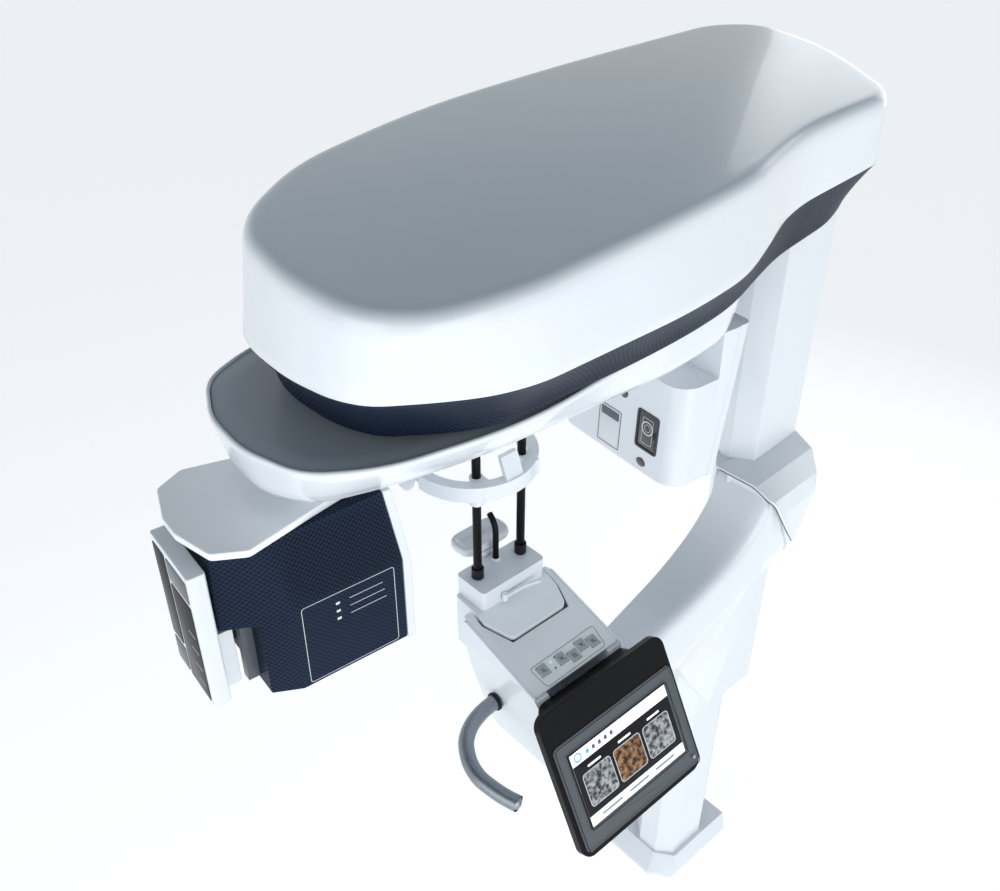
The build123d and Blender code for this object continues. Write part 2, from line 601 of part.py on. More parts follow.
def beam_frame():
    """Steel spine from the column to the free end, open over the slide."""
    spine = box(-770, 60, -124, 164, STAGE_RAIL_TOP, STAGE_RAIL_TOP + 8)
    spine += box(60, 92, -56, 26, STAGE_RAIL_TOP, STAGE_RAIL_TOP + 8)
    spine -= box(AXIS_X - 80, AXIS_X + 80, -60, 100, STAGE_RAIL_TOP - 1, STAGE_RAIL_TOP + 9)
    post = box(66, 92, -56, 26, TIE_BOTTOM, STAGE_RAIL_TOP)
    tie = box(-4, 66, -56, 26, TIE_BOTTOM, TIE_BOTTOM + 8)
    return spine + post + tie


def stage_rails():
    return group([box(-760, -430, y - STAGE_RAIL_HALF, y + STAGE_RAIL_HALF, STAGE_RAIL_TOP - STAGE_RAIL_DEPTH,
                      STAGE_RAIL_TOP) for y in STAGE_RAIL_Y])


def x_slide():
    """Cross plate that hangs under the beam's two rails and carries the second pair."""
    x0, x1 = AXIS_X - 105, AXIS_X + 105
    top = STAGE_RAIL_TOP - STAGE_RAIL_DEPTH
    plate = box(x0, x1, -138, 178, top - 20, top - GAP - 0.2)
    for y in STAGE_RAIL_Y:
        for side in (-1, 1):
            y0 = y + side * (STAGE_RAIL_HALF + GAP)
            y1 = y0 + side * 8
            plate += box(x0, x1, min(y0, y1), max(y0, y1), top - 1, STAGE_RAIL_TOP - 1)
    plate -= box(AXIS_X - 60, AXIS_X + 60, -85, 125, top - 21, top)
    for x in (AXIS_X - CROSS_RAIL_OFFSET, AXIS_X + CROSS_RAIL_OFFSET):
        plate += box(x - STAGE_RAIL_HALF, x + STAGE_RAIL_HALF, -130, 170, top - 34, top - 20)
    return plate


def y_slide():
    """Second plate, with the bearing sleeve for the C-arm's spindle."""
    x0, x1 = AXIS_X - 190, AXIS_X + 102
    y0, y1 = AXIS_Y - Y_SLIDE_HALF, AXIS_Y + Y_SLIDE_HALF
    plate = box(x0, x1, y0, y1, Y_SLIDE_TOP - 12, Y_SLIDE_TOP)
    for x in (AXIS_X - CROSS_RAIL_OFFSET, AXIS_X + CROSS_RAIL_OFFSET):
        for side in (-1, 1):
            xa = x + side * (STAGE_RAIL_HALF + GAP)
            xb = xa + side * 7
            plate += box(min(xa, xb), max(xa, xb), y0, y1, Y_SLIDE_TOP - 1, Y_SLIDE_TOP + 12)
    plate += rod(AXIS_X, AXIS_Y, SLEEVE_BOTTOM, Y_SLIDE_TOP, SLEEVE_R)
    plate -= rod(AXIS_X, AXIS_Y, SLEEVE_BOTTOM - 12, Y_SLIDE_TOP + 1, SPINDLE_R + SPINDLE_CLEARANCE)
    plate -= rod(AXIS_X - PULLEY_DISTANCE, AXIS_Y, SLEEVE_BOTTOM - 12, Y_SLIDE_TOP + 1, 6)
    return plate


def rotation_motor():
    x = AXIS_X - PULLEY_DISTANCE
    return rod(x, AXIS_Y, Y_SLIDE_TOP, Y_SLIDE_TOP + 44, 26)


def motor_pulley():
    x = AXIS_X - PULLEY_DISTANCE
    wheel = rod(x, AXIS_Y, PULLEY_BOTTOM, PULLEY_TOP, MOTOR_PULLEY_R)
    return wheel + rod(x, AXIS_Y, PULLEY_TOP, Y_SLIDE_TOP - 1, 5)


def rotation_belt():
    """Toothed belt round both pulleys, drawn with a small gap to each."""
    def loop(extra):
        lean_angle = math.asin((DRIVE_PULLEY_R - MOTOR_PULLEY_R) / PULLEY_DISTANCE)
        big, small = DRIVE_PULLEY_R + extra, MOTOR_PULLEY_R + extra
        x2 = AXIS_X - PULLEY_DISTANCE
        s, c = math.sin(lean_angle), math.cos(lean_angle)
        corners = [(AXIS_X - big * s, AXIS_Y + big * c), (x2 - small * s, AXIS_Y + small * c),
                   (x2 - small * s, AXIS_Y - small * c), (AXIS_X - big * s, AXIS_Y - big * c)]
        body = prism(corners, BELT_BOTTOM, BELT_TOP)
        body += rod(AXIS_X, AXIS_Y, BELT_BOTTOM, BELT_TOP, big)
        return body + rod(x2, AXIS_Y, BELT_BOTTOM, BELT_TOP, small)
    return loop(2.3) - loop(0.3)


# ---------------------------------------------------------------- C-arm
def spindle():
    """Hollow shaft with its drive pulley; it hangs in the sleeve by its top flange."""
    shaft = rod(0, 0, SPINDLE_BOTTOM, Y_SLIDE_TOP + 0.2, SPINDLE_R)
    shaft += rod(0, 0, Y_SLIDE_TOP + 0.2, Y_SLIDE_TOP + 6, SPINDLE_FLANGE_R)
    shaft += rod(0, 0, PULLEY_BOTTOM, PULLEY_TOP, DRIVE_PULLEY_R)
    shaft -= rod(0, 0, SPINDLE_BOTTOM - 1, Y_SLIDE_TOP + 7, 15)
    return arm_place(shaft)


def bridge_shell():
    radii = BRIDGE_RADII + BRIDGE_RADII[::-1]
    high = mirrored(BRIDGE_TOP_HALF)
    low = mirrored(BRIDGE_LOW_HALF)
    shell = lofted(low, BRIDGE_BOTTOM, high, BRIDGE_TOP, radii)
    inner = lofted(grown(low, -BRIDGE_WALL), BRIDGE_BOTTOM + 5, grown(high, -BRIDGE_WALL), BRIDGE_TOP + 1,
                   [r - 5 for r in radii])
    return arm_place(shell - inner)


def bridge_plate():
    """Slate-coloured lid, set just below the white rim."""
    radii = BRIDGE_RADII + BRIDGE_RADII[::-1]
    plate = prism(grown(mirrored(BRIDGE_TOP_HALF), -13), BRIDGE_TOP - 6, BRIDGE_TOP - 2, [r - 6 for r in radii])
    return arm_place(plate - rod(0, 0, BRIDGE_TOP - 10, BRIDGE_TOP, SPINDLE_R + 4))


def bridge_frame():
    """Aluminium spine inside the bridge, with an upright at each end."""
    inner_half = SPINE_HALF - 7
    floor, roof = SPINE_BOTTOM + 6, SPINE_TOP - 6
    spine = box(-360, 330, -SPINE_HALF, SPINE_HALF, SPINE_BOTTOM, SPINE_TOP)
    spine -= box(-350, -40, -inner_half, inner_half, floor, roof)
    spine -= box(40, 320, -inner_half, inner_half, floor, roof)
    spine += rod(0, 0, floor, SPINDLE_BOTTOM, 40)
    return arm_place(spine)


def tube_outline(x0, x1, y0, y1):
    return [(x0, y0), (x1, y0), (x1, y1), (x0, y1)]


def tube_cover():
    """Front cover of the tube head, with the ledge beside its neck."""
    high = tube_outline(TUBE_FACE + 8, TUBE_SEAM_HIGH, TUBE_SIDE_Y + 4, TUBE_FAR_Y - 4)
    low = tube_outline(TUBE_FACE, TUBE_SEAM_LOW, TUBE_SIDE_Y, TUBE_FAR_Y)
    floor = tube_outline(TUBE_FACE + 10, TUBE_SEAM_LOW, TUBE_SIDE_Y + 10, TUBE_FAR_Y - 10)
    shell = lofted(floor, TUBE_BOTTOM, low, TUBE_BOTTOM + 12, TUBE_RADII)
    shell += lofted(low, TUBE_BOTTOM + 12, high, BRIDGE_BOTTOM, TUBE_RADII)
    ledge = box(TUBE_FACE - 5, 338, TUBE_SIDE_Y - 5, -12, TUBE_SHELF, BRIDGE_BOTTOM + 1)
    inner_low = tube_outline(TUBE_FACE + 5, TUBE_SEAM_LOW + 1, TUBE_SIDE_Y + 5, TUBE_FAR_Y - 5)
    inner_high = tube_outline(TUBE_FACE + 13, TUBE_SEAM_HIGH + 1, TUBE_SIDE_Y + 9, TUBE_FAR_Y - 9)
    inner = lofted(inner_low, TUBE_BOTTOM + 8, inner_high, BRIDGE_BOTTOM - 5, [33, 3, 3, 33])
    inner -= box(TUBE_FACE - 5, 343, TUBE_SIDE_Y - 5, -7, TUBE_SHELF - 5, BRIDGE_BOTTOM + 1)
    shell = shell - ledge - inner
    shell -= box(TUBE_FACE - 10, TUBE_FACE + 20, *WINDOW_Y, *WINDOW_Z)
    for y, z in LASER_PLACES:
        shell -= Pos(TUBE_FACE, y, z) * Rot(0, 90, 0) * Cylinder(8.5, 40)
    return arm_place(shell)


def tube_rear_cover():
    gap = 0.5
    low = tube_outline(TUBE_SEAM_LOW + gap, TUBE_SEAM_LOW + 22, TUBE_SIDE_Y + 2, TUBE_FAR_Y - 2)
    high = tube_outline(TUBE_SEAM_HIGH + gap, TUBE_SEAM_HIGH + 24, TUBE_SIDE_Y + 6, TUBE_FAR_Y - 6)
    shell = lofted(low, TUBE_BOTTOM + 4, high, BRIDGE_BOTTOM - 0.5, [2, 12, 12, 2])
    inner_low = tube_outline(TUBE_SEAM_LOW - 5, TUBE_SEAM_LOW + 17, TUBE_SIDE_Y + 7, TUBE_FAR_Y - 7)
    inner_high = tube_outline(TUBE_SEAM_HIGH - 5, TUBE_SEAM_HIGH + 19, TUBE_SIDE_Y + 11, TUBE_FAR_Y - 11)
    inner = lofted(inner_low, TUBE_BOTTOM + 9, inner_high, BRIDGE_BOTTOM - 6, 0)
    return arm_place(shell - inner)


def xray_generator():
    """Sealed tank that holds the x-ray tube and its transformer."""
    tank = box(285, 338, -85, 160, 1410, 1570)
    tank = fillet(tank.edges().filter_by(Axis.Z), 8)
    snout = Pos(278.5, BEAM_Y, BEAM_Z) * Rot(0, 90, 0) * Cylinder(20, 13)
    return arm_place(tank + snout)


def collimator_jaw(side):
    """One of the two lead jaws in front of the tube's window."""
    near, far = BEAM_Y + side * 3, BEAM_Y + side * 21
    return arm_place(box(TUBE_FACE + 13, TUBE_FACE + 15, min(near, far), max(near, far), BEAM_Z - 22, BEAM_Z + 22))


def collimator_window():
    y0, y1 = WINDOW_Y
    z0, z1 = WINDOW_Z
    return arm_place(box(TUBE_FACE + 1, TUBE_FACE + 4, y0 + 0.2, y1 - 0.2, z0 + 0.2, z1 - 0.2))


def laser_windows():
    lenses = [Pos(TUBE_FACE + 3, y, z) * Rot(0, 90, 0) * Cylinder(8.3, 4) for y, z in LASER_PLACES]
    return arm_place(group(lenses))


def detector_body():
    """Dark moulded body with a sloped shoulder and a cut-away lower outer corner."""
    low = mirrored([(DETECTOR_OUTER, 58), (-408, 98), (DETECTOR_INNER, 98)])
    high = mirrored([(DETECTOR_OUTER + 4, 56), (-425, 86), (DETECTOR_INNER - DETECTOR_LEAN, 82)])
    body = prism(low, DETECTOR_BOTTOM, DETECTOR_WAIST) + lofted(low, DETECTOR_WAIST, high, DETECTOR_SHOULDER, 0)
    body -= box(-500, -446, -120, 120, DETECTOR_BOTTOM - 1, 1506)
    cavity = mirrored([(-440, 50), (-404, 88), (DETECTOR_INNER - 6, 88)])
    return arm_place(body - prism(cavity, DETECTOR_BOTTOM + 6, DETECTOR_WAIST - 5))


def detector_cap():
    cap = prism(mirrored(CAP_HALF), DETECTOR_SHOULDER, DETECTOR_TOP, 12)
    neck = box(-350, -290, -45, 45, DETECTOR_TOP, BRIDGE_BOTTOM)
    return arm_place(cap + neck)


def detector_panel():
    """White panel on the patient's side, in front of the flat sensor."""
    x0, x1 = DETECTOR_INNER + 0.2, DETECTOR_INNER + 12
    low = tube_outline(x0, x1, -100, 100)
    high = tube_outline(x0 - DETECTOR_LEAN, x1 - DETECTOR_LEAN, -84, 84)
    panel = prism(low, DETECTOR_BOTTOM - 3, DETECTOR_WAIST) + lofted(low, DETECTOR_WAIST, high, DETECTOR_SHOULDER, 0)
    return arm_place(panel)


def sensor_rails():
    bars = [box(-462, -446, y - 7, y + 7, 1392, 1505) for y in (-40, 40)]
    return arm_place(group(bars))


def sensor_module():
    """Slim sensor that hangs on the outside of the detector and slides down to come off."""
    body = box(MODULE_OUTER, MODULE_INNER, -65, 50, 1392, 1610)
    body = fillet(body.edges().filter_by(Axis.Z), 4)
    shoe = box(MODULE_INNER, -470, -45, 30, 1396, 1490)
    return arm_place(body + shoe)


# ---------------------------------------------------------------- chin rest and head support
def chin_shuttle():
    """White slide that rises out of the console and carries the chin rest."""
    body = prism(SHUTTLE_OUTLINE, 1190, BLOCK_BOTTOM, [12, 12, 8, 8, 8, 8])
    cut = end_profile([(-110, 1264), (-46, BLOCK_BOTTOM), (-110, BLOCK_BOTTOM + 5)], -700, -530)
    core = prism(grown(SHUTTLE_OUTLINE, -6), 1189, 1250)
    return body - cut - core


def chin_block():
    block = box(-676, -544, -46, 20, BLOCK_BOTTOM, BLOCK_TOP)
    block = fillet(block.edges().filter_by(Axis.Z), 8)
    for x in ROD_X:
        block -= rod(x, ROD_Y, BLOCK_BOTTOM + 6, BLOCK_TOP + 1, ROD_R)
    return block - rod(BITE_X, BITE_Y, BLOCK_BOTTOM + 5, BLOCK_TOP + 1, BITE_R + 0.05)


def bite_rod():
    """Rod that the patient bites, bent towards the patient at its top."""
    path = FilletPolyline((BITE_X, BITE_Y, BLOCK_BOTTOM + 5), (BITE_X, BITE_Y, 1386), (BITE_X, BITE_Y + 18, 1408),
                          radius=20)
    return sweep(Plane(origin=path @ 0, z_dir=path % 0) * Circle(BITE_R), path=path)


def chin_cup():
    """Rounded plate under the chin, on a short post behind the block."""
    centre = -606.0
    cup = Pos(centre, 42, 0) * extrude(RectangleRounded(100, 54, 22), amount=18)
    cup = Pos(0, 0, 1334) * cup
    post = box(centre - 14, centre + 14, 20.3, 32, 1300, 1334)
    return cup + post


def head_rods():
    return group([rod(x, ROD_Y, BLOCK_BOTTOM + 6, ROD_TOP, ROD_R) for x in ROD_X])


def head_ring():
    """Horseshoe band round the front of the head, clamped on both rods."""
    cx, cy = RING_CENTRE
    band = rod(cx, cy, RING_BOTTOM, RING_TOP, RING_R) - rod(cx, cy, RING_BOTTOM - 1, RING_TOP + 1, RING_R - RING_WIDTH)
    band -= box(cx - 120, cx + 120, cy, cy + 120, RING_BOTTOM - 1, RING_TOP + 1)
    for x in ROD_X:
        boss = rod(x, ROD_Y, RING_BOTTOM - 20, RING_TOP, ROD_R + 4)
        bridge = box(x - 9, x + 9, ROD_Y - 30, ROD_Y, RING_BOTTOM, RING_TOP)
        band += boss + bridge - rod(cx, cy, RING_BOTTOM - 21, RING_TOP + 1, 20)
        band -= rod(x, ROD_Y, RING_BOTTOM - 21, RING_TOP + 1, ROD_R)
    for side in (-1, 1):
        x = cx + side * (RING_R - RING_WIDTH / 2)
        band += rod(x, cy, RING_BOTTOM, RING_TOP, HINGE_R + 1)
        band -= rod(x, cy, RING_BOTTOM + HINGE_LUG, RING_TOP - HINGE_LUG, HINGE_R + 1.2)
        band += rod(x, cy, RING_BOTTOM, RING_TOP, HINGE_PIN_R)
    brow = end_profile([(cy - RING_R + 4, RING_TOP), (cy - RING_R + 12, RING_TOP), (cy - RING_R + 26, RING_TOP + 34),
                        (cy - RING_R + 18, RING_TOP + 34)], cx - 16, cx + 16)
    return band + brow


def temple_pad(side):
    """Hinged pad that closes on the temple at one end of the band."""
    cx, cy = RING_CENTRE
    x_mid = cx + side * (RING_R - RING_WIDTH / 2)
    low = RING_BOTTOM + HINGE_LUG + GAP
    high = RING_TOP - HINGE_LUG - GAP
    knuckle = rod(0, 0, low, high, HINGE_R)
    arm = box(-5, 5, 0, 46, low, high)
    paddle = box(-3, 3, 18, 62, RING_BOTTOM - 22, RING_TOP + 2)
    bore = rod(0, 0, low - 1, high + 1, HINGE_PIN_R + 0.05)
    pad = Rot(0, 0, -side * TEMPLE_FLARE) * (knuckle + arm + paddle - bore)
    return Pos(x_mid, cy, 0) * pad


def release_lever():
    """Small lever on the front of the block that frees the temple pads."""
    px, py = LEVER_PIVOT
    blade = prism([(px, py + 2), (px, py - 3), (-600, -55), (-570, -63), (-566, -59), (-598, -49.5)], 1294, 1299)
    return blade + rod(px, py, 1290, 1303, 5)


PARTS = {
    "base_plate": base_plate,
    "base_cover": base_cover,
    "fixed_column": fixed_column,
    "guide_rails": guide_rails,
    "pedestal_cover": pedestal_cover,
    "lift_actuator": lift_actuator,
    "lift_actuator_rod": lift_actuator_rod,
    "wall_bracket": wall_bracket,
    "carriage_cover": carriage_cover,
    "column_cover": column_cover,
    "lift_frame": lift_frame,
    "guide_blocks": guide_blocks,
    "collar_cover": collar_cover,
    "arm_cover": arm_cover,
    "arm_beam": arm_beam,
    "console_body": console_body,
    "console_top": console_top,
    "monitor_housing": monitor_housing,
    "monitor_frame": monitor_frame,
    "touch_screen": touch_screen,
    "handle": handle,
    "beam_top_cover": beam_top_cover,
    "beam_trim": beam_trim,
    "beam_frame": beam_frame,
    "stage_rails": stage_rails,
    "x_slide": x_slide,
    "y_slide": y_slide,
    "rotation_motor": rotation_motor,
    "motor_pulley": motor_pulley,
    "rotation_belt": rotation_belt,
    "spindle": spindle,
    "bridge_shell": bridge_shell,
    "bridge_plate": bridge_plate,
    "bridge_frame": bridge_frame,
    "tube_cover": tube_cover,
    "tube_rear_cover": tube_rear_cover,
    "xray_generator": xray_generator,
    "collimator_jaw_left": lambda: collimator_jaw(1),
    "collimator_jaw_right": lambda: collimator_jaw(-1),
    "collimator_window": collimator_window,
    "laser_windows": laser_windows,
    "detector_body": detector_body,
    "detector_cap": detector_cap,
    "detector_panel": detector_panel,
    "sensor_rails": sensor_rails,
    "sensor_module": sensor_module,
    "chin_shuttle": chin_shuttle,
    "chin_block": chin_block,
    "bite_rod": bite_rod,
    "chin_cup": chin_cup,
    "head_rods": head_rods,
    "head_ring": head_ring,
    "temple_pad_left": lambda: temple_pad(-1),
    "temple_pad_right": lambda: temple_pad(1),
    "release_lever": release_lever,
}
for number in range(len(BUTTON_PLACES)):
    PARTS[f"button_{number + 1}"] = lambda number=number: console_button(number)

os.makedirs("parts", exist_ok=True)
for node, make in PARTS.items():
    export_step(make(), f"parts/{node}.step")
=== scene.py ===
import math

import bmesh
import bpy
from mathutils import Matrix, Vector


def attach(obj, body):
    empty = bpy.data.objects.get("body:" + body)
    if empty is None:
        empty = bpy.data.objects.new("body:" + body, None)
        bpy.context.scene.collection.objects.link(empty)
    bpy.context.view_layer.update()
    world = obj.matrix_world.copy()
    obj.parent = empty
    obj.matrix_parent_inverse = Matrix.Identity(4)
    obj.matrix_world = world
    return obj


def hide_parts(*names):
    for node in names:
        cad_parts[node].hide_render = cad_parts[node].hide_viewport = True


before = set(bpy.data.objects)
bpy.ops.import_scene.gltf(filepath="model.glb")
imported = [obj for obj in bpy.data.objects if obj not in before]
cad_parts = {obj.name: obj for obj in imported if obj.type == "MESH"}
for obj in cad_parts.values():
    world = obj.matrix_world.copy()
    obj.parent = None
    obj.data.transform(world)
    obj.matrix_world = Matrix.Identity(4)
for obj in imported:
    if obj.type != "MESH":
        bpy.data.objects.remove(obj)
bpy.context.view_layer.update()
scene = bpy.context.scene
MM = 0.001

# Lengths below are in millimetres and angles in degrees, in the CAD model's frame: +Z up, +X towards the
# column, -Y the operator's side. Lights, camera and relief depths are in metres.

# Rotation axis and drawn angle of the C-arm.
AXIS = (-598.0, -15.0)
ARM_ANGLE = -5.0

# ---------- camera, lights and room
CAMERA_PLACE = (-1.453, -0.950, 2.430)
CAMERA_TILT = 55.19
CAMERA_HEADING = -41.91
CAMERA_LENS = 37.63
LAMP_GLOSS = 0.25               # share of each lamp that shows as a highlight

LIGHTS = {
    # name: (place, aims at, size, watts, colour)
    "front": ((-0.9, -3.6, 1.5), (-0.4, 0.0, 1.3), 2.6, 46, (1.0, 1.0, 1.0)),
    "left": ((-3.6, -0.2, 1.9), (-0.5, 0.0, 1.4), 2.4, 24, (0.98, 0.99, 1.0)),
    "rim": ((2.4, 0.6, 2.2), (0.0, 0.0, 1.5), 1.8, 16, (0.94, 0.97, 1.0)),
    "low": ((-1.8, -1.6, 0.3), (-0.3, 0.0, 1.2), 1.6, 5, (1.0, 1.0, 1.0)),
}
HORIZON_COLOUR = (0.975, 0.988, 1.0, 1.0)
OVERHEAD_COLOUR = (0.22, 0.26, 0.30, 1.0)
ROOM_STRENGTH = 0.88


def photo_camera():
    camera = bpy.data.objects.new("camera", bpy.data.cameras.new("camera"))
    camera.location = CAMERA_PLACE
    camera.rotation_euler = (math.radians(CAMERA_TILT), 0.0, math.radians(CAMERA_HEADING))
    camera.data.lens = CAMERA_LENS
    camera.data.sensor_width = 36.0
    camera.data.clip_end = 60.0
    scene.collection.objects.link(camera)
    scene.camera = camera


def studio_lights():
    for name, (place, target, size, watts, colour) in LIGHTS.items():
        lamp = bpy.data.lights.new("light_" + name, "AREA")
        lamp.size = size
        lamp.energy = watts
        lamp.color = colour
        lamp.specular_factor = LAMP_GLOSS
        holder = bpy.data.objects.new("light_" + name, lamp)
        holder.location = place
        holder.rotation_euler = (Vector(target) - Vector(place)).to_track_quat("-Z", "Y").to_euler()
        scene.collection.objects.link(holder)


def studio_room():
    """Light from all round: bright at the horizon and dimmer overhead, so level surfaces read darker."""
    world = bpy.data.worlds.new("studio")
    world.use_nodes = True
    sky = world.node_tree
    direction = sky.nodes.new("ShaderNodeTexCoord")
    axes = sky.nodes.new("ShaderNodeSeparateXYZ")
    fade = sky.nodes.new("ShaderNodeValToRGB")
    fade.color_ramp.elements[0].position = 0.12
    fade.color_ramp.elements[0].color = HORIZON_COLOUR
    fade.color_ramp.elements[1].position = 0.75
    fade.color_ramp.elements[1].color = OVERHEAD_COLOUR
    sky.links.new(direction.outputs["Generated"], axes.inputs["Vector"])
    sky.links.new(axes.outputs["Z"], fade.inputs["Fac"])
    sky.links.new(fade.outputs["Color"], sky.nodes["Background"].inputs["Color"])
    sky.nodes["Background"].inputs["Strength"].default_value = ROOM_STRENGTH
    scene.world = world
    scene.view_settings.view_transform = "Standard"


photo_camera()
studio_lights()
studio_room()


# ---------- materials
COAT_ROUGHNESS = 0.05
COARSE_GRAIN = 420.0            # noise scales, per metre of surface: orange peel and fine grain
FINE_GRAIN = 1900.0


class Finish:
    """A Principled material whose colour, roughness and relief come from procedural nodes."""

    def __init__(self, name, roughness, metallic=0.0, coat=0.0, specular=0.5):
        self.material = bpy.data.materials.new(name)
        self.material.use_nodes = True
        self.tree = self.material.node_tree
        self.shader = self.tree.nodes["Principled BSDF"]
        self.shader.inputs["Roughness"].default_value = roughness
        self.shader.inputs["Metallic"].default_value = metallic
        self.shader.inputs["Coat Weight"].default_value = coat
        self.shader.inputs["Coat Roughness"].default_value = COAT_ROUGHNESS
        self.shader.inputs["Specular IOR Level"].default_value = specular
        self.place = self.node("ShaderNodeTexCoord").outputs["Object"]

    def node(self, kind, **settings):
        made = self.tree.nodes.new(kind)
        for key, value in settings.items():
            if key in made.inputs:
                made.inputs[key].default_value = value
            else:
                setattr(made, key, value)
        return made

    def link(self, source, target):
        self.tree.links.new(source, target)

    def noise(self, scale, detail=3.0, stretch=(1, 1, 1)):
        mapping = self.node("ShaderNodeMapping")
        mapping.inputs["Scale"].default_value = stretch
        self.link(self.place, mapping.inputs["Vector"])
        noise = self.node("ShaderNodeTexNoise", Scale=scale, Detail=detail)
        self.link(mapping.outputs["Vector"], noise.inputs["Vector"])
        return noise.outputs["Fac"]

    def ramp(self, factor, low, high, start=0.3, end=0.7):
        ramp = self.node("ShaderNodeValToRGB")
        ramp.color_ramp.elements[0].position = start
        ramp.color_ramp.elements[1].position = end
        ramp.color_ramp.elements[0].color = (*low, 1.0)
        ramp.color_ramp.elements[1].color = (*high, 1.0)
        self.link(factor, ramp.inputs["Fac"])
        return ramp.outputs["Color"]

    def range(self, factor, low, high):
        limits = self.node("ShaderNodeMapRange")
        limits.inputs["To Min"].default_value = low
        limits.inputs["To Max"].default_value = high
        self.link(factor, limits.inputs["Value"])
        return limits.outputs["Result"]

    def bump(self, *layers):
        """Adds relief; each layer is (height, strength, depth in metres)."""
        before = None
        for height, strength, depth in layers:
            bump = self.node("ShaderNodeBump", Strength=strength, Distance=depth)
            self.link(height, bump.inputs["Height"])
            if before is not None:
                self.link(before, bump.inputs["Normal"])
            before = bump.outputs["Normal"]
        self.link(before, self.shader.inputs["Normal"])

    def edges(self, colour, edge_highlight, amount=0.5):
        """Paints the given colour on convex edges as a painted highlight."""
        geometry = self.node("ShaderNodeNewGeometry")
        convex = self.ramp(geometry.outputs["Pointiness"], (0, 0, 0), (1, 1, 1), 0.52, 0.60)
        mask = self.range(convex, 0.0, amount)
        mix = self.node("ShaderNodeMix", data_type="RGBA")
        self.link(mask, mix.inputs["Factor"])
        self.link(colour, mix.inputs["A"])
        mix.inputs["B"].default_value = (*edge_highlight, 1.0)
        return mix.outputs["Result"]


def plastic(name, colour, roughness, coat=0.0, peel=0.05, shade=0.985, edge_highlight=None, specular=0.5):
    """Moulded plastic: slow colour drift, uneven gloss, orange peel and fine grain, and, when asked for, a
    painted highlight on convex edges.
    """
    finish = Finish(name, roughness, coat=coat, specular=specular)
    drift = finish.noise(2.5, 1.0)
    low = tuple(c * shade for c in colour)
    tone = finish.ramp(drift, low, colour)
    # convex edges take a lighter colour: a painted highlight
    if edge_highlight is not None:
        tone = finish.edges(tone, edge_highlight)
    finish.link(tone, finish.shader.inputs["Base Color"])
    gloss = finish.range(finish.noise(38.0), roughness * 0.97, roughness * 1.05)
    finish.link(gloss, finish.shader.inputs["Roughness"])
    coarse = finish.noise(COARSE_GRAIN)
    fine = finish.noise(FINE_GRAIN, 1.0)
    finish.bump((coarse, peel, 0.0006), (fine, peel * 1.6, 0.0001))
    return finish.material


def metal(name, colour, roughness, stretch=(1, 1, 1), strength=0.25):
    """Metal with fine drawn or ground marks."""
    finish = Finish(name, roughness, metallic=1.0)
    marks = finish.noise(260.0, 6.0, stretch)
    low = tuple(c * 0.78 for c in colour)
    finish.link(finish.ramp(marks, low, colour), finish.shader.inputs["Base Color"])
    finish.link(finish.range(marks, roughness * 0.7, roughness * 1.4), finish.shader.inputs["Roughness"])
    finish.bump((marks, strength, 0.0003))
    return finish.material


def mesh_weave(name, thread, hole, pitch):
    """Dark moulded skin with a fine perforated weave, laid out on the piece's own pattern map."""
    finish = Finish(name, 0.42, specular=0.07)
    pattern = finish.node("ShaderNodeUVMap", uv_map="pattern")
    turn = finish.node("ShaderNodeMapping")
    turn.inputs["Rotation"].default_value = (0.0, 0.0, math.radians(45.0))
    finish.link(pattern.outputs["UV"], turn.inputs["Vector"])
    cells = finish.node("ShaderNodeTexVoronoi", voronoi_dimensions="2D", feature="F1")
    cells.inputs["Scale"].default_value = 1.0 / pitch
    cells.inputs["Randomness"].default_value = 0.0
    finish.link(turn.outputs["Vector"], cells.inputs["Vector"])
    dots = finish.ramp(cells.outputs["Distance"], hole, thread, 0.26, 0.46)
    # convex edges of the weave are painted three times lighter than its thread: a painted highlight
    edge_highlight = finish.edges(dots, tuple(min(1.0, c * 3.0) for c in thread), 0.35)
    finish.link(edge_highlight, finish.shader.inputs["Base Color"])
    relief = finish.ramp(cells.outputs["Distance"], (0, 0, 0), (1, 1, 1), 0.2, 0.5)
    finish.bump((relief, 0.55, 0.0006), (finish.noise(900.0), 0.06, 0.0002))
    return finish.material


def glow(name, colour, strength, relief=0.85):
    """Lit area of the display; relief is how dark its darkest patches are against its colour."""
    finish = Finish(name, 0.4, specular=0.1)
    cloud = finish.noise(130.0, 9.0)
    low = tuple(c * relief for c in colour)
    tone = finish.ramp(cloud, low, colour, 0.40, 0.62)
    finish.link(tone, finish.shader.inputs["Base Color"])
    finish.link(tone, finish.shader.inputs["Emission Color"])
    finish.shader.inputs["Emission Strength"].default_value = strength
    finish.bump((finish.noise(2500.0, 1.0), 0.02, 0.00005))
    return finish.material


def shell_with_painted_top_shade(name, side, top, roughness, start, end):
    """Glossy shell whose level top is painted a greyer tone than its walls, as painted shade; the painted
    shade meets the walls' tone on the rolled edge.
    """
    finish = Finish(name, roughness, coat=0.25)
    axes = finish.node("ShaderNodeSeparateXYZ")
    finish.link(finish.place, axes.inputs["Vector"])
    limits = finish.node("ShaderNodeMapRange")
    limits.inputs["From Min"].default_value = start
    limits.inputs["From Max"].default_value = end
    finish.link(axes.outputs["Z"], limits.inputs["Value"])
    drift = finish.noise(4.0)
    mix = finish.node("ShaderNodeMix", data_type="RGBA")
    # with height the colour turns from the walls' white to the top's painted shade
    finish.link(limits.outputs["Result"], mix.inputs["Factor"])
    finish.link(finish.ramp(drift, tuple(c * 0.97 for c in side), side), mix.inputs["A"])
    finish.link(finish.ramp(drift, tuple(c * 0.97 for c in top), top), mix.inputs["B"])
    finish.link(mix.outputs["Result"], finish.shader.inputs["Base Color"])
    gloss = finish.range(finish.noise(9.0, 1.0), roughness * 0.96, roughness * 1.06)
    finish.link(gloss, finish.shader.inputs["Roughness"])
    finish.bump((finish.noise(COARSE_GRAIN), 0.04, 0.0005), (finish.noise(FINE_GRAIN, 1.0), 0.06, 0.0001))
    return finish.material


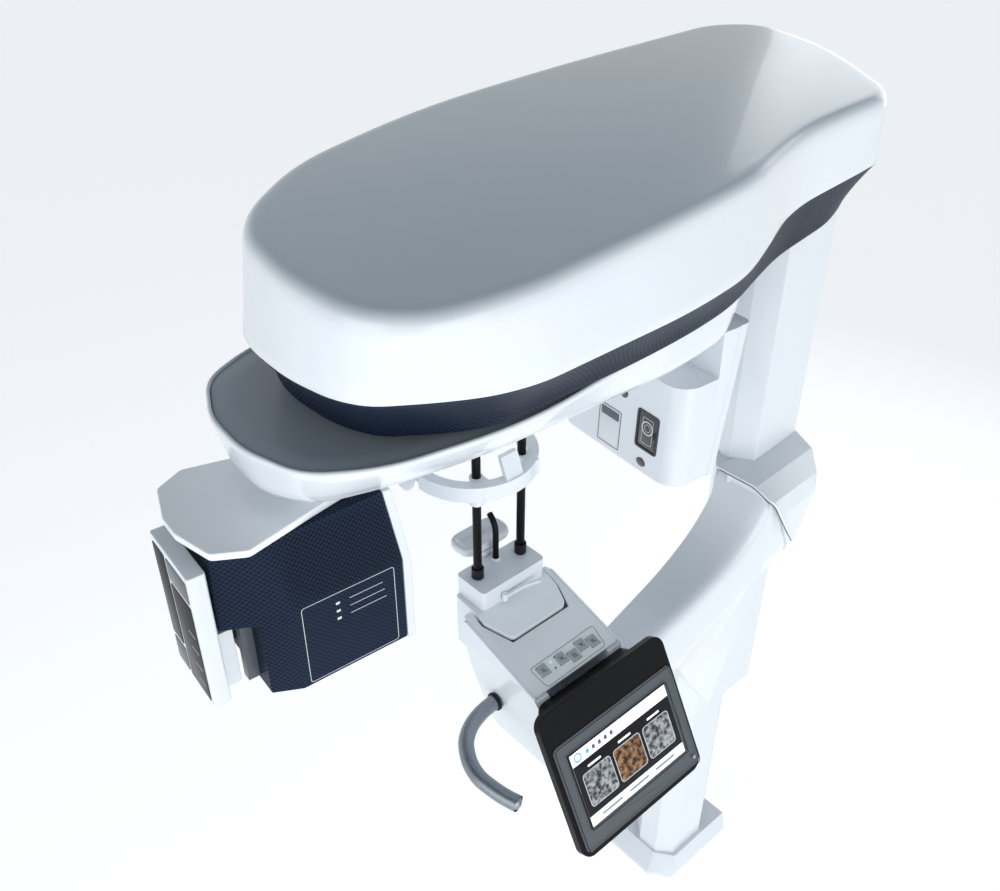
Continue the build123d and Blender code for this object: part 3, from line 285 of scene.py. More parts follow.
COOL_WHITE = (0.74, 0.785, 0.83)
# the beam's level top is painted this greyer tone as painted shade
BEAM_TOP_PAINTED_SHADE = (0.50, 0.575, 0.63)
BEAM_PAINTED_SHADE_HEIGHTS = (1.964, 1.9755)   # heights in metres between which the beam turns from white to the painted shade of its top

WHITE = plastic("white_plastic", COOL_WHITE, 0.28, coat=0.35)
SHELL = plastic("shell_white", COOL_WHITE, 0.22, coat=0.5)
BEAM = shell_with_painted_top_shade("beam_gloss_painted_top_shade", COOL_WHITE, BEAM_TOP_PAINTED_SHADE, 0.26, *BEAM_PAINTED_SHADE_HEIGHTS)
SLATE = plastic("slate_plastic", (0.31, 0.36, 0.405), 0.42, coat=0.15, peel=0.12)
# the detector cap's white is a lighter copy of the shell's white: painted light against the shade the bridge
# casts on it
CAP = plastic("cap_white", (0.84, 0.875, 0.90), 0.34, coat=0.3)
NAVY = mesh_weave("navy_weave", (0.010, 0.020, 0.044), (0.0015, 0.003, 0.008), 0.0052)
LABEL_NAVY = plastic("navy_gloss", (0.010, 0.016, 0.034), 0.2, coat=0.3, specular=0.3)
# the last colour of BLACK is a painted highlight on its convex edges
BLACK = plastic("black_gloss", (0.003, 0.003, 0.004), 0.3, specular=0.12, edge_highlight=(0.04, 0.04, 0.05))
BEZEL = plastic("bezel_grey", (0.095, 0.11, 0.125), 0.34, coat=0.1, specular=0.3)
CONSOLE = plastic("console_grey", (0.72, 0.755, 0.78), 0.36, coat=0.3)
# the last colour of KEY is a painted highlight on the key caps' convex edges
KEY = plastic("key_grey", (0.33, 0.36, 0.385), 0.36, peel=0.2, edge_highlight=(0.6, 0.63, 0.66))
MARK = plastic("key_mark", (0.10, 0.12, 0.14), 0.5)
TUBE = metal("handle_metal", (0.30, 0.335, 0.37), 0.38, (1, 1, 1), 0.12)
STEEL = metal("steel", (0.62, 0.64, 0.66), 0.28, (1, 1, 12))
# the last colour of FRAME_STEEL is a painted highlight on its convex edges
FRAME_STEEL = plastic("frame_steel", (0.30, 0.32, 0.34), 0.55, peel=0.3, edge_highlight=(0.5, 0.52, 0.54))
ALUMINIUM = metal("aluminium", (0.72, 0.73, 0.75), 0.34, (12, 1, 1))
GLASS = plastic("display_glass", (0.006, 0.007, 0.009), 0.06, coat=1.0, peel=0.01)
DARK_GLASS = plastic("dark_glass", (0.012, 0.013, 0.016), 0.08, coat=1.0, peel=0.01)
RUBBER = plastic("belt_rubber", (0.022, 0.022, 0.024), 0.7, peel=0.4)
CLEAR = plastic("satin_clear", (0.66, 0.70, 0.74), 0.22, coat=0.5)
SEAM = plastic("seam_shadow", (0.05, 0.055, 0.065), 0.7)
LINE = plastic("label_line", (0.66, 0.70, 0.74), 0.4)
UI_BAR = glow("display_bar", (0.86, 0.88, 0.90), 0.75)
UI_BLACK = glow("display_black", (0.012, 0.013, 0.016), 0.2)
UI_XRAY = glow("display_xray", (0.34, 0.36, 0.375), 0.4, relief=0.1)
UI_VOLUME = glow("display_volume", (0.30, 0.17, 0.09), 0.35, relief=0.12)
UI_BLUE = glow("display_blue", (0.08, 0.32, 0.62), 0.7)
LED_GREEN = glow("led_green", (0.25, 0.75, 0.40), 0.9)

# Finish of each of the CAD model's own materials; the CAD nodes that stay in view take it.
SLOT_FINISH = {
    "white_plastic": WHITE, "shell_white": SHELL, "slate_plastic": SLATE, "navy_plastic": LABEL_NAVY,
    "black_gloss": BLACK, "grey_bezel": BEZEL, "console_grey": CONSOLE, "key_grey": KEY,
    "tube_metal": TUBE, "steel": STEEL, "frame_steel": FRAME_STEEL, "aluminium": ALUMINIUM,
    "display_glass": GLASS, "dark_glass": DARK_GLASS, "belt_rubber": RUBBER, "clear_plastic": CLEAR,
}
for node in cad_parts.values():
    for holder in node.material_slots:
        base = holder.material.name.split(".")[0] if holder.material else "white_plastic"
        holder.material = SLOT_FINISH.get(base, WHITE)


# ---------- mesh helpers (millimetres)
WELD = 0.00002                  # metres; CAD vertices closer than this are one
CORNER_SHARE = 0.48
BAND_SIDES = 48
DOME_STEPS = 6
DOME_TURN = 88.0                # a domed end stops just short of its pole
EDGE_SEGMENTS = 3
EDGE_ANGLE = 28.0               # CAD edges sharper than this are rolled over
FLAT_ANGLE = 0.6                # faces that meet flatter than this are joined


def finished(name, mesh_data, finish, body, slot, nodes=(), smooth_angle=38.0):
    """Makes the object, shades it smooth up to an angle, and puts it on its CAD body."""
    mesh = bpy.data.meshes.new(name)
    bmesh.ops.recalc_face_normals(mesh_data, faces=mesh_data.faces)
    mesh_data.to_mesh(mesh)
    mesh_data.free()
    mesh.materials.append(finish)
    made = bpy.data.objects.new(name, mesh)
    scene.collection.objects.link(made)
    mesh.shade_smooth()
    mesh.set_sharp_from_angle(angle=math.radians(smooth_angle))
    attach(made, body)
    if nodes:
        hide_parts(*nodes)
    return made


def signed_area(points):
    sides = zip(points, points[1:] + points[:1])
    return sum(x0 * y1 - x1 * y0 for (x0, y0), (x1, y1) in sides) / 2


def inset(points, distance):
    """Moves a closed plan outline inwards; a negative distance moves it outwards."""
    side = 1.0 if signed_area(points) > 0 else -1.0
    moved = []
    for index, point in enumerate(points):
        before = Vector(points[index - 1])
        after = Vector(points[(index + 1) % len(points)])
        here = Vector(point)
        first = (here - before).normalized()
        second = (after - here).normalized()
        inward = Vector((-(first.y + second.y), first.x + second.x)) * side
        length = max(0.5, inward.length / 2)
        moved.append(tuple(here + inward.normalized() * distance / length))
    return moved


def curve_run(p0, p1, p2, p3, steps):
    """Points of a Catmull-Rom curve from p1 up to p2, without p2 itself."""
    made = []
    for step in range(steps):
        t = step / steps
        value = p1 * 2 + (p2 - p0) * t + (p0 * 2 - p1 * 5 + p2 * 4 - p3) * t ** 2
        value += (p1 * 3 - p0 - p2 * 3 + p3) * t ** 3
        made.append(tuple(value / 2))
    return made


def smooth_closed(points, per_side):
    """Smooth closed curve through every point."""
    made = []
    count = len(points)
    for index in range(count):
        made += curve_run(*(Vector(points[(index + k) % count]) for k in (-1, 0, 1, 2)), per_side)
    return made


def smooth_open(points, per_side=5):
    """Smooth open curve through every point."""
    full = [points[0]] + points + [points[-1]]
    made = []
    for index in range(len(points) - 1):
        made += curve_run(*(Vector(full[index + k]) for k in range(4)), per_side)
    made.append(tuple(points[-1]))
    return made


def soft_corners(points, radii, steps=6):
    """Closed polygon whose corners are rounded; radii is one number or one for each corner.

    A corner never takes more than its share of the side on each side of it."""
    if not isinstance(radii, (list, tuple)):
        radii = [radii] * len(points)
    made = []
    for index, point in enumerate(points):
        here = Vector(point)
        before = Vector(points[index - 1]) - here
        after = Vector(points[(index + 1) % len(points)]) - here
        reach = min(radii[index], before.length * CORNER_SHARE, after.length * CORNER_SHARE)
        start = here + before.normalized() * reach
        end = here + after.normalized() * reach
        for step in range(steps):
            t = step / (steps - 1)
            made.append(tuple(start * (1 - t) ** 2 + here * 2 * t * (1 - t) + end * t ** 2))
    return made


def between(first, second, share):
    return [tuple(Vector(a).lerp(Vector(b), share)) for a, b in zip(first, second)]


def at_height(points, z):
    return [(x, y, z) for x, y in points]


def stack(outline, steps, base=0.0):
    """Rings over a plan outline; each step is (distance inside the outline, height over the base)."""
    return [at_height(inset(outline, inwards), base + height) for inwards, height in steps]


def mirrored(half):
    return half + [(x, -y) for x, y in reversed(half)]


def rectangle(x0, x1, y0, y1, radius=0.0, steps=5):
    corners = [(x0, y0), (x1, y0), (x1, y1), (x0, y1)]
    return soft_corners(corners, radius, steps) if radius else corners


def round_outline(x, y, radius, count=28, tall=None):
    """Circle, or an ellipse when tall gives another radius upwards."""
    rise = radius if tall is None else tall
    turns = [2 * math.pi * k / count for k in range(count)]
    return [(x + radius * math.cos(turn), y + rise * math.sin(turn)) for turn in turns]


def arm_place(points):
    """From the C-arm's own frame to the model's frame."""
    turn = Matrix.Rotation(math.radians(ARM_ANGLE), 3, "Z")
    return [tuple(turn @ Vector(p) + Vector((AXIS[0], AXIS[1], 0.0))) for p in points]


def skin(name, rings, finish, body, slot, nodes=(), ends=(True, True), angle=38.0):
    """Loft through rings of equal length, with a pattern map in metres along its surface.

    ends says which of the first and last rings are closed with a face."""
    data = bmesh.new()
    pattern = data.loops.layers.uv.new("pattern")
    rows = [[data.verts.new(Vector(p) * MM) for p in ring] for ring in rings]
    count = len(rings[0])
    along = [0.0]
    for index in range(count):
        step = Vector(rings[0][(index + 1) % count]) - Vector(rings[0][index])
        along.append(along[-1] + step.length * MM)
    height = 0.0
    for lower, upper in zip(rows, rows[1:]):
        rise = (upper[0].co - lower[0].co).length
        for index in range(count):
            other = (index + 1) % count
            corners = (lower[index], lower[other], upper[other], upper[index])
            face = data.faces.new(corners)
            places = ((along[index], height), (along[index + 1], height),
                      (along[index + 1], height + rise), (along[index], height + rise))
            for loop, place in zip(face.loops, places):
                loop[pattern].uv = place
        height += rise
    for closed, row in zip(ends, (rows[0], rows[-1])):
        if closed:
            face = data.faces.new(row)
            for loop in face.loops:
                loop[pattern].uv = loop.vert.co.xy
    finished(name, data, finish, body, slot, nodes, angle)


def tube(name, path, radius, finish, body, slot, nodes=(), sides=28):
    """Round bar along a smooth path, with a domed far end."""
    points = [Vector(p) for p in path]
    rings = []
    for index, point in enumerate(points):
        ahead = points[min(index + 1, len(points) - 1)]
        behind = points[max(index - 1, 0)]
        rings.append((point, (ahead - behind).normalized(), radius))
    last, way, _ = rings.pop()
    start = last - way * radius
    for step in range(DOME_STEPS + 1):
        turn = math.radians(DOME_TURN) * step / DOME_STEPS
        rings.append((start + way * radius * math.sin(turn), way, radius * math.cos(turn)))
    loops = []
    side = Vector((0, 0, 1)) if abs(rings[0][1].z) < 0.9 else Vector((1, 0, 0))
    for centre, way, size in rings:
        across = way.cross(side).normalized()
        up = across.cross(way).normalized()
        loop = []
        for step in range(sides):
            turn = 2 * math.pi * step / sides
            loop.append(centre + across * size * math.cos(turn) + up * size * math.sin(turn))
        loops.append(loop)
    skin(name, loops, finish, body, slot, nodes, angle=50.0)


def softened(node, body, width, finish=WHITE, slot="white_plastic"):
    """Better copy of a CAD node: welded, its sharp edges rolled over, and a box-projected pattern map."""
    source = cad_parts[node]
    data = bmesh.new()
    data.from_mesh(source.data)
    bmesh.ops.remove_doubles(data, verts=data.verts, dist=WELD)
    if node not in PIERCED:
        flat = math.radians(FLAT_ANGLE)
        bmesh.ops.dissolve_limit(data, angle_limit=flat, verts=data.verts, edges=data.edges)
    pattern = data.loops.layers.uv.get("pattern") or data.loops.layers.uv.new("pattern")
    for face in data.faces:
        normal = face.normal
        axis = max(range(3), key=lambda k: abs(normal[k]))
        for loop in face.loops:
            co = loop.vert.co
            loop[pattern].uv = ((co.y, co.z), (co.x, co.z), (co.x, co.y))[axis]
    made = finished("soft_" + node, data, finish, body, slot, (node,), 32.0)
    bevel = made.modifiers.new("rolled_edges", "BEVEL")
    bevel.width = width * MM
    bevel.segments = EDGE_SEGMENTS
    bevel.limit_method = "ANGLE"
    bevel.angle_limit = math.radians(EDGE_ANGLE)
    bevel.miter_outer = "MITER_ARC"
    bevel.harden_normals = True
    bevel.use_clamp_overlap = True


# ---------- overhead beam
# Plan outlines, corner by corner from the free end: the seam with the dark trim, the edge of the level
# top, and the foot of the trim.
BEAM_WAIST = [
    (-978, 20), (-984, -85), (-972, -152), (-952, -190), (-895, -230), (-842, -260), (-785, -275),
    (-540, -277), (-415, -262), (-335, -231), (-225, -184), (-150, -166), (20, -152), (92, -144),
    (125, -85), (207, 50), (250, 220), (170, 300), (-237, 288), (-543, 260), (-800, 185), (-925, 95),
]
BEAM_CREST = [
    (-946, 12), (-965, -85), (-966, -150), (-960, -205), (-925, -248), (-870, -262), (-800, -269),
    (-560, -252), (-400, -233), (-315, -203), (-220, -176), (-140, -166), (5, -158), (42, -138),
    (93, -73), (180, 55), (225, 214), (158, 272), (-237, 262), (-543, 234), (-791, 160), (-903, 75),
]
TRIM_FOOT = [
    (-925, 31), (-921, -55), (-912, -90), (-895, -125), (-850, -158), (-812, -182), (-770, -198),
    (-560, -207), (-441, -204), (-335, -192), (-235, -160), (-150, -135), (20, -112), (95, -85),
    (138, -60), (165, 30), (170, 110), (110, 170), (-237, 190), (-543, 186), (-770, 140), (-900, 100),
]
WAIST_Z = 1850.0
CREST_Z = 1977.0
FOOT_Z = 1752.0
BEAM_ROUNDING = 400.0           # more than a corner can take, so each takes its full share
WALL_STEPS = 8
WALL_RISE = 101.0
WALL_BOW = 0.85                 # below 1 a wall nears its upper outline early, above 1 late
TRIM_BOW = 1.25
# Rings as (distance inside the outline, height): over the seam, under the top and over the trim's foot.
SEAM_LIP = ((3.5, 2.6), (1.0, 0.6), (0.0, 2.4))
CREST_ROLL = ((-17.0, -24.0), (-16.2, -16.0), (-13.6, -9.5), (-9.6, -4.6), (-5.0, -1.7), (0.0, -0.5),
              (9.0, 0.0))
TRIM_ROLL = ((24.0, 1.0), (8.0, 0.0), (2.0, 2.0))


def beam():
    """White cover above its seam, its level top painted grey as painted shade, and the dark trim below it."""
    waist = soft_corners(BEAM_WAIST, BEAM_ROUNDING)
    crest = soft_corners(BEAM_CREST, BEAM_ROUNDING)
    foot = soft_corners(TRIM_FOOT, BEAM_ROUNDING)
    wall = inset(crest, CREST_ROLL[0][0])
    rings = stack(waist, SEAM_LIP, WAIST_Z)
    start = WAIST_Z + SEAM_LIP[-1][1]
    for step in range(1, WALL_STEPS):
        share = step / WALL_STEPS
        rings.append(at_height(between(waist, wall, share ** WALL_BOW), start + WALL_RISE * share))
    rings += stack(crest, CREST_ROLL, CREST_Z)
    skin("beam_top_skin", rings, BEAM, "lift", "shell_white", ("beam_top_cover",), angle=60.0)
    shoulder = inset(waist, 2.0)
    rings = stack(foot, TRIM_ROLL, FOOT_Z)
    for step in range(WALL_STEPS + 1):
        share = step / WALL_STEPS
        height = FOOT_Z + 6 + (WAIST_Z - 7 - FOOT_Z) * share
        rings.append(at_height(between(foot, shoulder, share ** TRIM_BOW), height))
    rings.append(at_height(inset(waist, 5.0), WAIST_Z))
    skin("beam_trim_skin", rings, NAVY, "lift", "navy_plastic", ("beam_trim",), angle=50.0)


# ---------- rotating bridge
BRIDGE_TOP = [(-421, 42), (-388, 130), (-305, 176), (-120, 199), (222, 139), (335, 120), (404, 64)]
BRIDGE_LOW = [(-406, 44), (-364, 106), (-285, 126), (-150, 145), (200, 138), (325, 113), (392, 58)]
BRIDGE_RADII = [28, 34, 45, 90, 60, 40, 35]
BRIDGE_BOTTOM = 1668.0
BRIDGE_TOP_Z = 1742.0
BRIDGE_BOW = 0.8
HUB_R = 34.0                    # hole in the lid for the spindle
# Rings in the same way: over the bottom for the foot, and under the top for the rim and the lid.
BRIDGE_FOOT = ((40.0, 0.0), (12.0, 0.5), (4.0, 4.0), (0.6, 10.0))
BRIDGE_RIM = ((0.0, -4.0), (1.0, -1.2), (2.6, 0.0), (4.6, 0.0), (5.6, -1.0), (5.8, -12.0))
BRIDGE_LID = ((30.0, -1.9), (2.5, -1.9), (0.0, -3.2), (0.0, -8.0), (3.0, -8.0))


def bridge():
    """White dish that turns under the beam, with its slate-coloured lid."""
    radii = BRIDGE_RADII + BRIDGE_RADII[::-1]
    high = soft_corners(mirrored(BRIDGE_TOP), radii, 8)
    low = soft_corners(mirrored(BRIDGE_LOW), radii, 8)
    rings = stack(low, BRIDGE_FOOT, BRIDGE_BOTTOM)
    for step in range(1, WALL_STEPS):
        share = step / WALL_STEPS
        height = BRIDGE_BOTTOM + 10 + (BRIDGE_TOP_Z - 15 - BRIDGE_BOTTOM) * share
        rings.append(at_height(between(low, high, share ** BRIDGE_BOW), height))
    rings += stack(high, BRIDGE_RIM, BRIDGE_TOP_Z)
    skin("bridge_skin", [arm_place(ring) for ring in rings], SHELL, "c_arm", "shell_white", ("bridge_shell",),
         angle=55.0)
    lid = inset(high, 6.4)
    turns = [math.atan2(y, x) for x, y in lid]
    hub = [(math.cos(turn) * HUB_R, math.sin(turn) * HUB_R) for turn in turns]
    rings = [at_height(hub, BRIDGE_TOP_Z - 8), at_height(hub, BRIDGE_TOP_Z - 2.6)]
    rings += stack(lid, BRIDGE_LID, BRIDGE_TOP_Z)
    skin("bridge_lid_skin", [arm_place(ring) for ring in rings], SLATE, "c_arm", "slate_plastic",
         ("bridge_plate",), ends=(False, False), angle=40.0)


# ---------- patient handle
HANDLE_PATH = [
    (-690, -104), (-711, -104), (-737, -107), (-762, -115), (-783, -128), (-797, -143), (-811, -168),
    (-818, -195), (-817, -220), (-813, -245), (-805, -273),
]
HANDLE_Z = 1150.0
HANDLE_R = 12.4


def ring_band(name, centre, axis, inner, outer, depth, finish, body, slot, roll=0.3):
    """Turned collar with rolled edges; depth runs along the axis from the centre."""
    way = Vector(axis).normalized()
    side = way.orthogonal().normalized()
    up = way.cross(side)
    section = [(inner, 0), (outer - roll, 0), (outer, roll), (outer, depth - roll), (outer - roll, depth),
               (inner + roll, depth), (inner, depth - roll), (inner, 0)]
    loops = []
    for radius, run in section:
        middle = Vector(centre) + way * run
        loop = []
        for step in range(BAND_SIDES):
            turn = 2 * math.pi * step / BAND_SIDES
            loop.append(middle + side * radius * math.cos(turn) + up * radius * math.sin(turn))
        loops.append(loop)
    skin(name, loops, finish, body, slot, ends=(False, False), angle=35.0)


def handle():
    path = [(x, y, HANDLE_Z) for x, y in smooth_open(HANDLE_PATH)]
    tube("handle_tube", path, HANDLE_R, TUBE, "lift", "tube_metal", ("handle",))
    collar_centre = (-702.5, HANDLE_PATH[0][1], HANDLE_Z)
    ring_band("handle_collar", collar_centre, (-1, 0, 0), HANDLE_R + 0.2, 15.5, 4.0, BLACK, "lift",
              "black_gloss")


# ---------- curved arm
ARM_CREST = [(-58, 1254), (-74, 1236), (-110, 1192), (-166, 1153), (-250, 1122), (-345, 1103), (-440, 1086),
             (-525, 1074), (-620, 1071.5)]
ARM_UNDER = [(-58, 640), (-70, 660), (-150, 800), (-250, 900), (-400, 960), (-560, 1002), (-620, 1020)]
ARM_RIDGE = [(-3, 1120), (-49, 1080), (-175, 1035), (-293, 994), (-400, 974), (-620, 1040)]
ARM_OUTER_Y = -154.0
ARM_ROOT_X = -66.0
ARM_END_X = -622.5
# Three points of the flat facet below the ridge.
FACET = ((-3, ARM_OUTER_Y, 1120), (-293, ARM_OUTER_Y, 994), (121, -62, 914))
# The arm's inner side in plan: Y at an X, and Y gained for each millimetre towards the column.
INNER_SIDE = (-60.0, -33.0, 0.1034)
CARRIAGE_SIDE = (-98.0, -28.0, -1.088)      # along the carriage cover
CARRIAGE_NOSE = (-88.0, -37.2, 0.7295)      # along the notch in its nose
NOTCH_Z = 1181.0
COLLAR_LINE = [(-67, -35, 1260), (-67, -80, 1260.5), (-66, -114, 1259), (-62, -143, 1245), (-52, -155, 1232),
               (-28, -157, 1194), (6, -157, 1142), (33, -156, 1104)]


def level_at(profile, x):
    """Height of an (x, z) profile at x, by straight runs."""
    ordered = sorted(profile)
    for (x0, z0), (x1, z1) in zip(ordered, ordered[1:]):
        if x0 <= x <= x1:
            return z0 + (z1 - z0) * (x - x0) / (x1 - x0)
    return ordered[0][1] if x < ordered[0][0] else ordered[-1][1]


def plan_line(line, x):
    """Y of a straight plan line at x; the line is (x, y, slope)."""
    return line[1] + (x - line[0]) * line[2]


def arm_skin():
    """Smooth arm from the collar to the console, with a crisp ridge along its lower operator side."""
    start, along, across = (Vector(point) for point in FACET)
    facet = (along - start).cross(across - start)
    rings = []
    for x, top in smooth_open(ARM_CREST, 4):
        under = level_at(ARM_UNDER, x)
        ridge = max(level_at(ARM_RIDGE, x), under + 14.0)
        inner = plan_line(INNER_SIDE, x)
        # The lower facet leans in below the ridge.
        low = start.y - (facet.x * (x - start.x) + facet.z * (under - start.z)) / facet.y
        # Beside the column the inner face steps out round the carriage cover, up to the notch in its nose.
        step = inner - 0.5
        if x > CARRIAGE_SIDE[0]:
            step = min(step, plan_line(CARRIAGE_SIDE, x))
        notch = min(NOTCH_Z, top - 12.0)
        nose = max(inner, plan_line(CARRIAGE_NOSE, x))
        low = min(max(low, ARM_OUTER_Y + 3.0), step - 14.0)
        section = [(nose, top), (ARM_OUTER_Y, top), (ARM_OUTER_Y, ridge), (low, under), (step, under),
                   (step, notch), (nose, notch)]
        # The shoulder's rounding grows over the last stretch before the collar.
        shoulder_r = 26.0 + 18.0 * max(0.0, min(1.0, (x + 200.0) / 130.0))
        corners = soft_corners(section, [5, shoulder_r, 5, 8, 8, 0.2, 0.2], 7)
        rings.append([(x, y, z) for y, z in corners])
    end = [(y, z) for _, y, z in rings[-1]]
    rings.append([(ARM_END_X, y, z) for y, z in inset(end, 2.5)])
    skin("arm_skin", rings, WHITE, "lift", "white_plastic", ("arm_cover",), angle=34.0)


def arm_root():
    """Root of the arm beside the column, below the slanted seam: the CAD cover's own part beyond the arm."""
    data = bmesh.new()
    data.from_mesh(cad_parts["arm_cover"].data)
    bmesh.ops.remove_doubles(data, verts=data.verts, dist=WELD)
    geometry = data.verts[:] + data.edges[:] + data.faces[:]
    bmesh.ops.bisect_plane(data, geom=geometry, plane_co=(ARM_ROOT_X * MM, 0, 0), plane_no=(1, 0, 0),
                           clear_inner=True)
    bmesh.ops.holes_fill(data, edges=[edge for edge in data.edges if edge.is_boundary], sides=0)
    finished("arm_root", data, WHITE, "lift", "white_plastic", smooth_angle=30.0)


def collar():
    """Raised lip along the collar's edge, and the shadow line beside it."""
    lip = smooth_open(COLLAR_LINE, 6)
    tube("collar_lip", lip, 3.4, WHITE, "lift", "white_plastic", sides=18)
    seam = [(x - 3.6, y, z - 1.6) for x, y, z in lip]
    tube("collar_seam", seam, 0.9, SEAM, "lift", "white_plastic", sides=10)


# ---------- covers that keep their CAD shape
SOFT_COVERS = [
    # node, body, edge width, and the finish and slot of what isn't white plastic
    ("base_cover", "column_base", 3.0),
    ("pedestal_cover", "column_base", 2.5),
    ("carriage_cover", "lift", 2.5),
    ("column_cover", "lift", 2.5),
    ("collar_cover", "lift", 2.5),
    ("console_body", "lift", 2.0),
    ("console_top", "lift", 0.5, CONSOLE, "console_grey"),
    ("monitor_housing", "lift", 2.5, BLACK, "black_gloss"),
    ("monitor_frame", "lift", 1.2, BEZEL, "grey_bezel"),
    ("tube_cover", "c_arm", 1.5),
    ("tube_rear_cover", "c_arm", 1.5),
    ("detector_body", "c_arm", 2.2, NAVY, "navy_plastic"),
    # the cap's lighter white is painted light
    ("detector_cap", "c_arm", 1.8, CAP, "shell_white"),
    ("detector_panel", "c_arm", 1.5),
    ("sensor_module", "sensor", 1.5),
    ("chin_shuttle", "chin_rest", 1.5),
    ("chin_block", "chin_rest", 1.5),
    ("head_ring", "chin_rest", 1.2),
    ("release_lever", "lever", 0.8),
]
PIERCED = ("console_top",)      # covers with rows of openings keep their own triangles


def covers():
    for cover in SOFT_COVERS:
        softened(*cover)


# ---------- thin plates, lines and marks
def plate(name, outline, low, high, place, finish, body, slot, nodes=(), edge=0.4):
    """Flat piece with rolled edges; place turns (across, along, height) points into the model's frame."""
    thick = high - low
    edge = min(edge, thick * 0.45)
    steps = ((edge, low), (edge * 0.3, low + edge * 0.3), (0.0, low + edge), (0.0, high - edge),
             (edge * 0.3, high - edge * 0.3), (edge, high))
    rings = [place(ring) for ring in stack(outline, steps)]
    skin(name, rings, finish, body, slot, nodes, angle=50.0)


def frame_line(name, outline, width, low, high, place, finish, body, slot):
    """Thin closed line round an outline."""
    inner = inset(outline, width)
    rings = [place(at_height(outline, low)), place(at_height(outline, high)),
             place(at_height(inner, high)), place(at_height(inner, low)), place(at_height(outline, low))]
    skin(name, rings, finish, body, slot, ends=(False, False), angle=20.0)


# ---------- touch screen
SCREEN_CENTRE = Vector((-601.0, -299.0, 1118.0))
SCREEN_LEAN = math.radians(28.4)
SCREEN_UP = Vector((0.0, math.sin(SCREEN_LEAN), math.cos(SCREEN_LEAN)))
SCREEN_OUT = Vector((0.0, -math.cos(SCREEN_LEAN), math.sin(SCREEN_LEAN)))
# Lowest and highest level of the layers on the display glass, and the level of the bezel's face.
AREA_LAYER = (1.2, 1.36)
TILE_LAYER = (1.4, 1.52)
MARK_LAYER = (1.4, 1.5)
RIM_LAYER = (1.4, 1.6)
BEZEL_LEVEL = 4.0


def screen_place(points):
    """Places (u, v, outwards) points on the screen; u runs along X and v up the glass."""
    return [tuple(SCREEN_CENTRE + Vector((u, 0, 0)) + SCREEN_UP * v + SCREEN_OUT * w) for u, v, w in points]


def display_patch(name, outline, layer, finish):
    plate("display_" + name, outline, *layer, screen_place, finish, "lift", "display_glass", edge=0.05)


def display_line(name, outline, width, finish):
    frame_line("display_" + name, outline, width, *RIM_LAYER, screen_place, finish, "lift", "display_glass")


def screen():
    """Display glass with a made-up picture of panels and tiles, and the lines on its bezel."""
    glass = rectangle(-108.4, 108.4, -62.4, 62.4, 1.5)
    plate("display_pane", glass, -0.8, 1.1, screen_place, GLASS, "lift", "display_glass", ("touch_screen",),
          edge=0.3)
    areas = [("status_bar", 41, 61, UI_BAR), ("work_area", -44, 40.4, UI_BLACK),
             ("tool_bar", -61, -44.6, UI_BAR)]
    for name, bottom, top, finish in areas:
        display_patch(name, rectangle(-106, 106, bottom, top, 0.6), AREA_LAYER, finish)
    for index, (u, finish) in enumerate([(-66, UI_XRAY), (0, UI_VOLUME), (66, UI_XRAY)]):
        tile = rectangle(u - 30, u + 30, -34, 22, 7)
        display_patch("tile_%d" % index, tile, TILE_LAYER, finish)
        display_line("tile_rim_%d" % index, tile, 1.3, LINE)
        display_patch("caption_%d" % index, rectangle(u - 14, u + 14, 27, 30.5, 1), MARK_LAYER, UI_BAR)
    for index in range(5):
        u = -72 + index * 13
        tool = rectangle(u - 3, u + 3, 47, 54, 2.4)
        display_patch("tool_%d" % index, tool, MARK_LAYER, MARK if index else UI_BLUE)
    display_line("dial", round_outline(-92, 51, 7.5), 2.2, UI_BLUE)
    for index in range(3):
        u = -60 + index * 60
        display_patch("step_%d" % index, rectangle(u - 22, u + 22, -55, -51, 1.5), MARK_LAYER, KEY)
    lines = [("bead", rectangle(-129, 129, -93.5, 84.5, 9), 1.2, 4.5),
             ("step", rectangle(-110.5, 110.5, -64.5, 64.5, 2), 1.6, 4.35)]
    for name, outline, width, high in lines:
        frame_line("bezel_" + name, outline, width, BEZEL_LEVEL, high, screen_place, BLACK, "lift",
                   "grey_bezel")
    # Power key at the right of the lower bezel.
    power = round_outline(118, -79, 3.2, 24)
    plate("bezel_key", power, BEZEL_LEVEL, 4.6, screen_place, KEY, "lift", "grey_bezel")


# ---------- console top
CONSOLE_SLOPE = math.radians(16.7)
CONSOLE_ORIGIN = Vector((0.0, -196.0, 1234.0))
CONSOLE_UP = Vector((0.0, math.cos(CONSOLE_SLOPE), math.sin(CONSOLE_SLOPE)))
CONSOLE_OUT = Vector((0.0, -math.sin(CONSOLE_SLOPE), math.cos(CONSOLE_SLOPE)))
KEY_PLACES = [(-663.0, 28.5), (-625.0, 28.0), (-604.0, 20.5), (-582.0, 28.0), (-561.0, 22.5)]
KEY_SIZE = 18.0
# A key cap's rings: distance inside its outline, and height over the console top; its top is dished.
KEY_CAP = ((0.2, -3.5), (0.0, -3.1), (0.0, 1.2), (0.5, 1.8), (1.2, 2.1), (2.8, 1.9), (4.6, 1.5))
KEY_MARK = (1.35, 1.75)         # lowest and highest level of the mark on a key


def console_place(points):
    """Places (x, u, outwards) points on the console top; u runs up its slope."""
    return [tuple(CONSOLE_ORIGIN + Vector((x, 0, 0)) + CONSOLE_UP * u + CONSOLE_OUT * w)
            for x, u, w in points]


def key_mark(name, outline, body):
    plate("key_mark_" + name, outline, *KEY_MARK, console_place, MARK, body, "key_grey", edge=0.1)


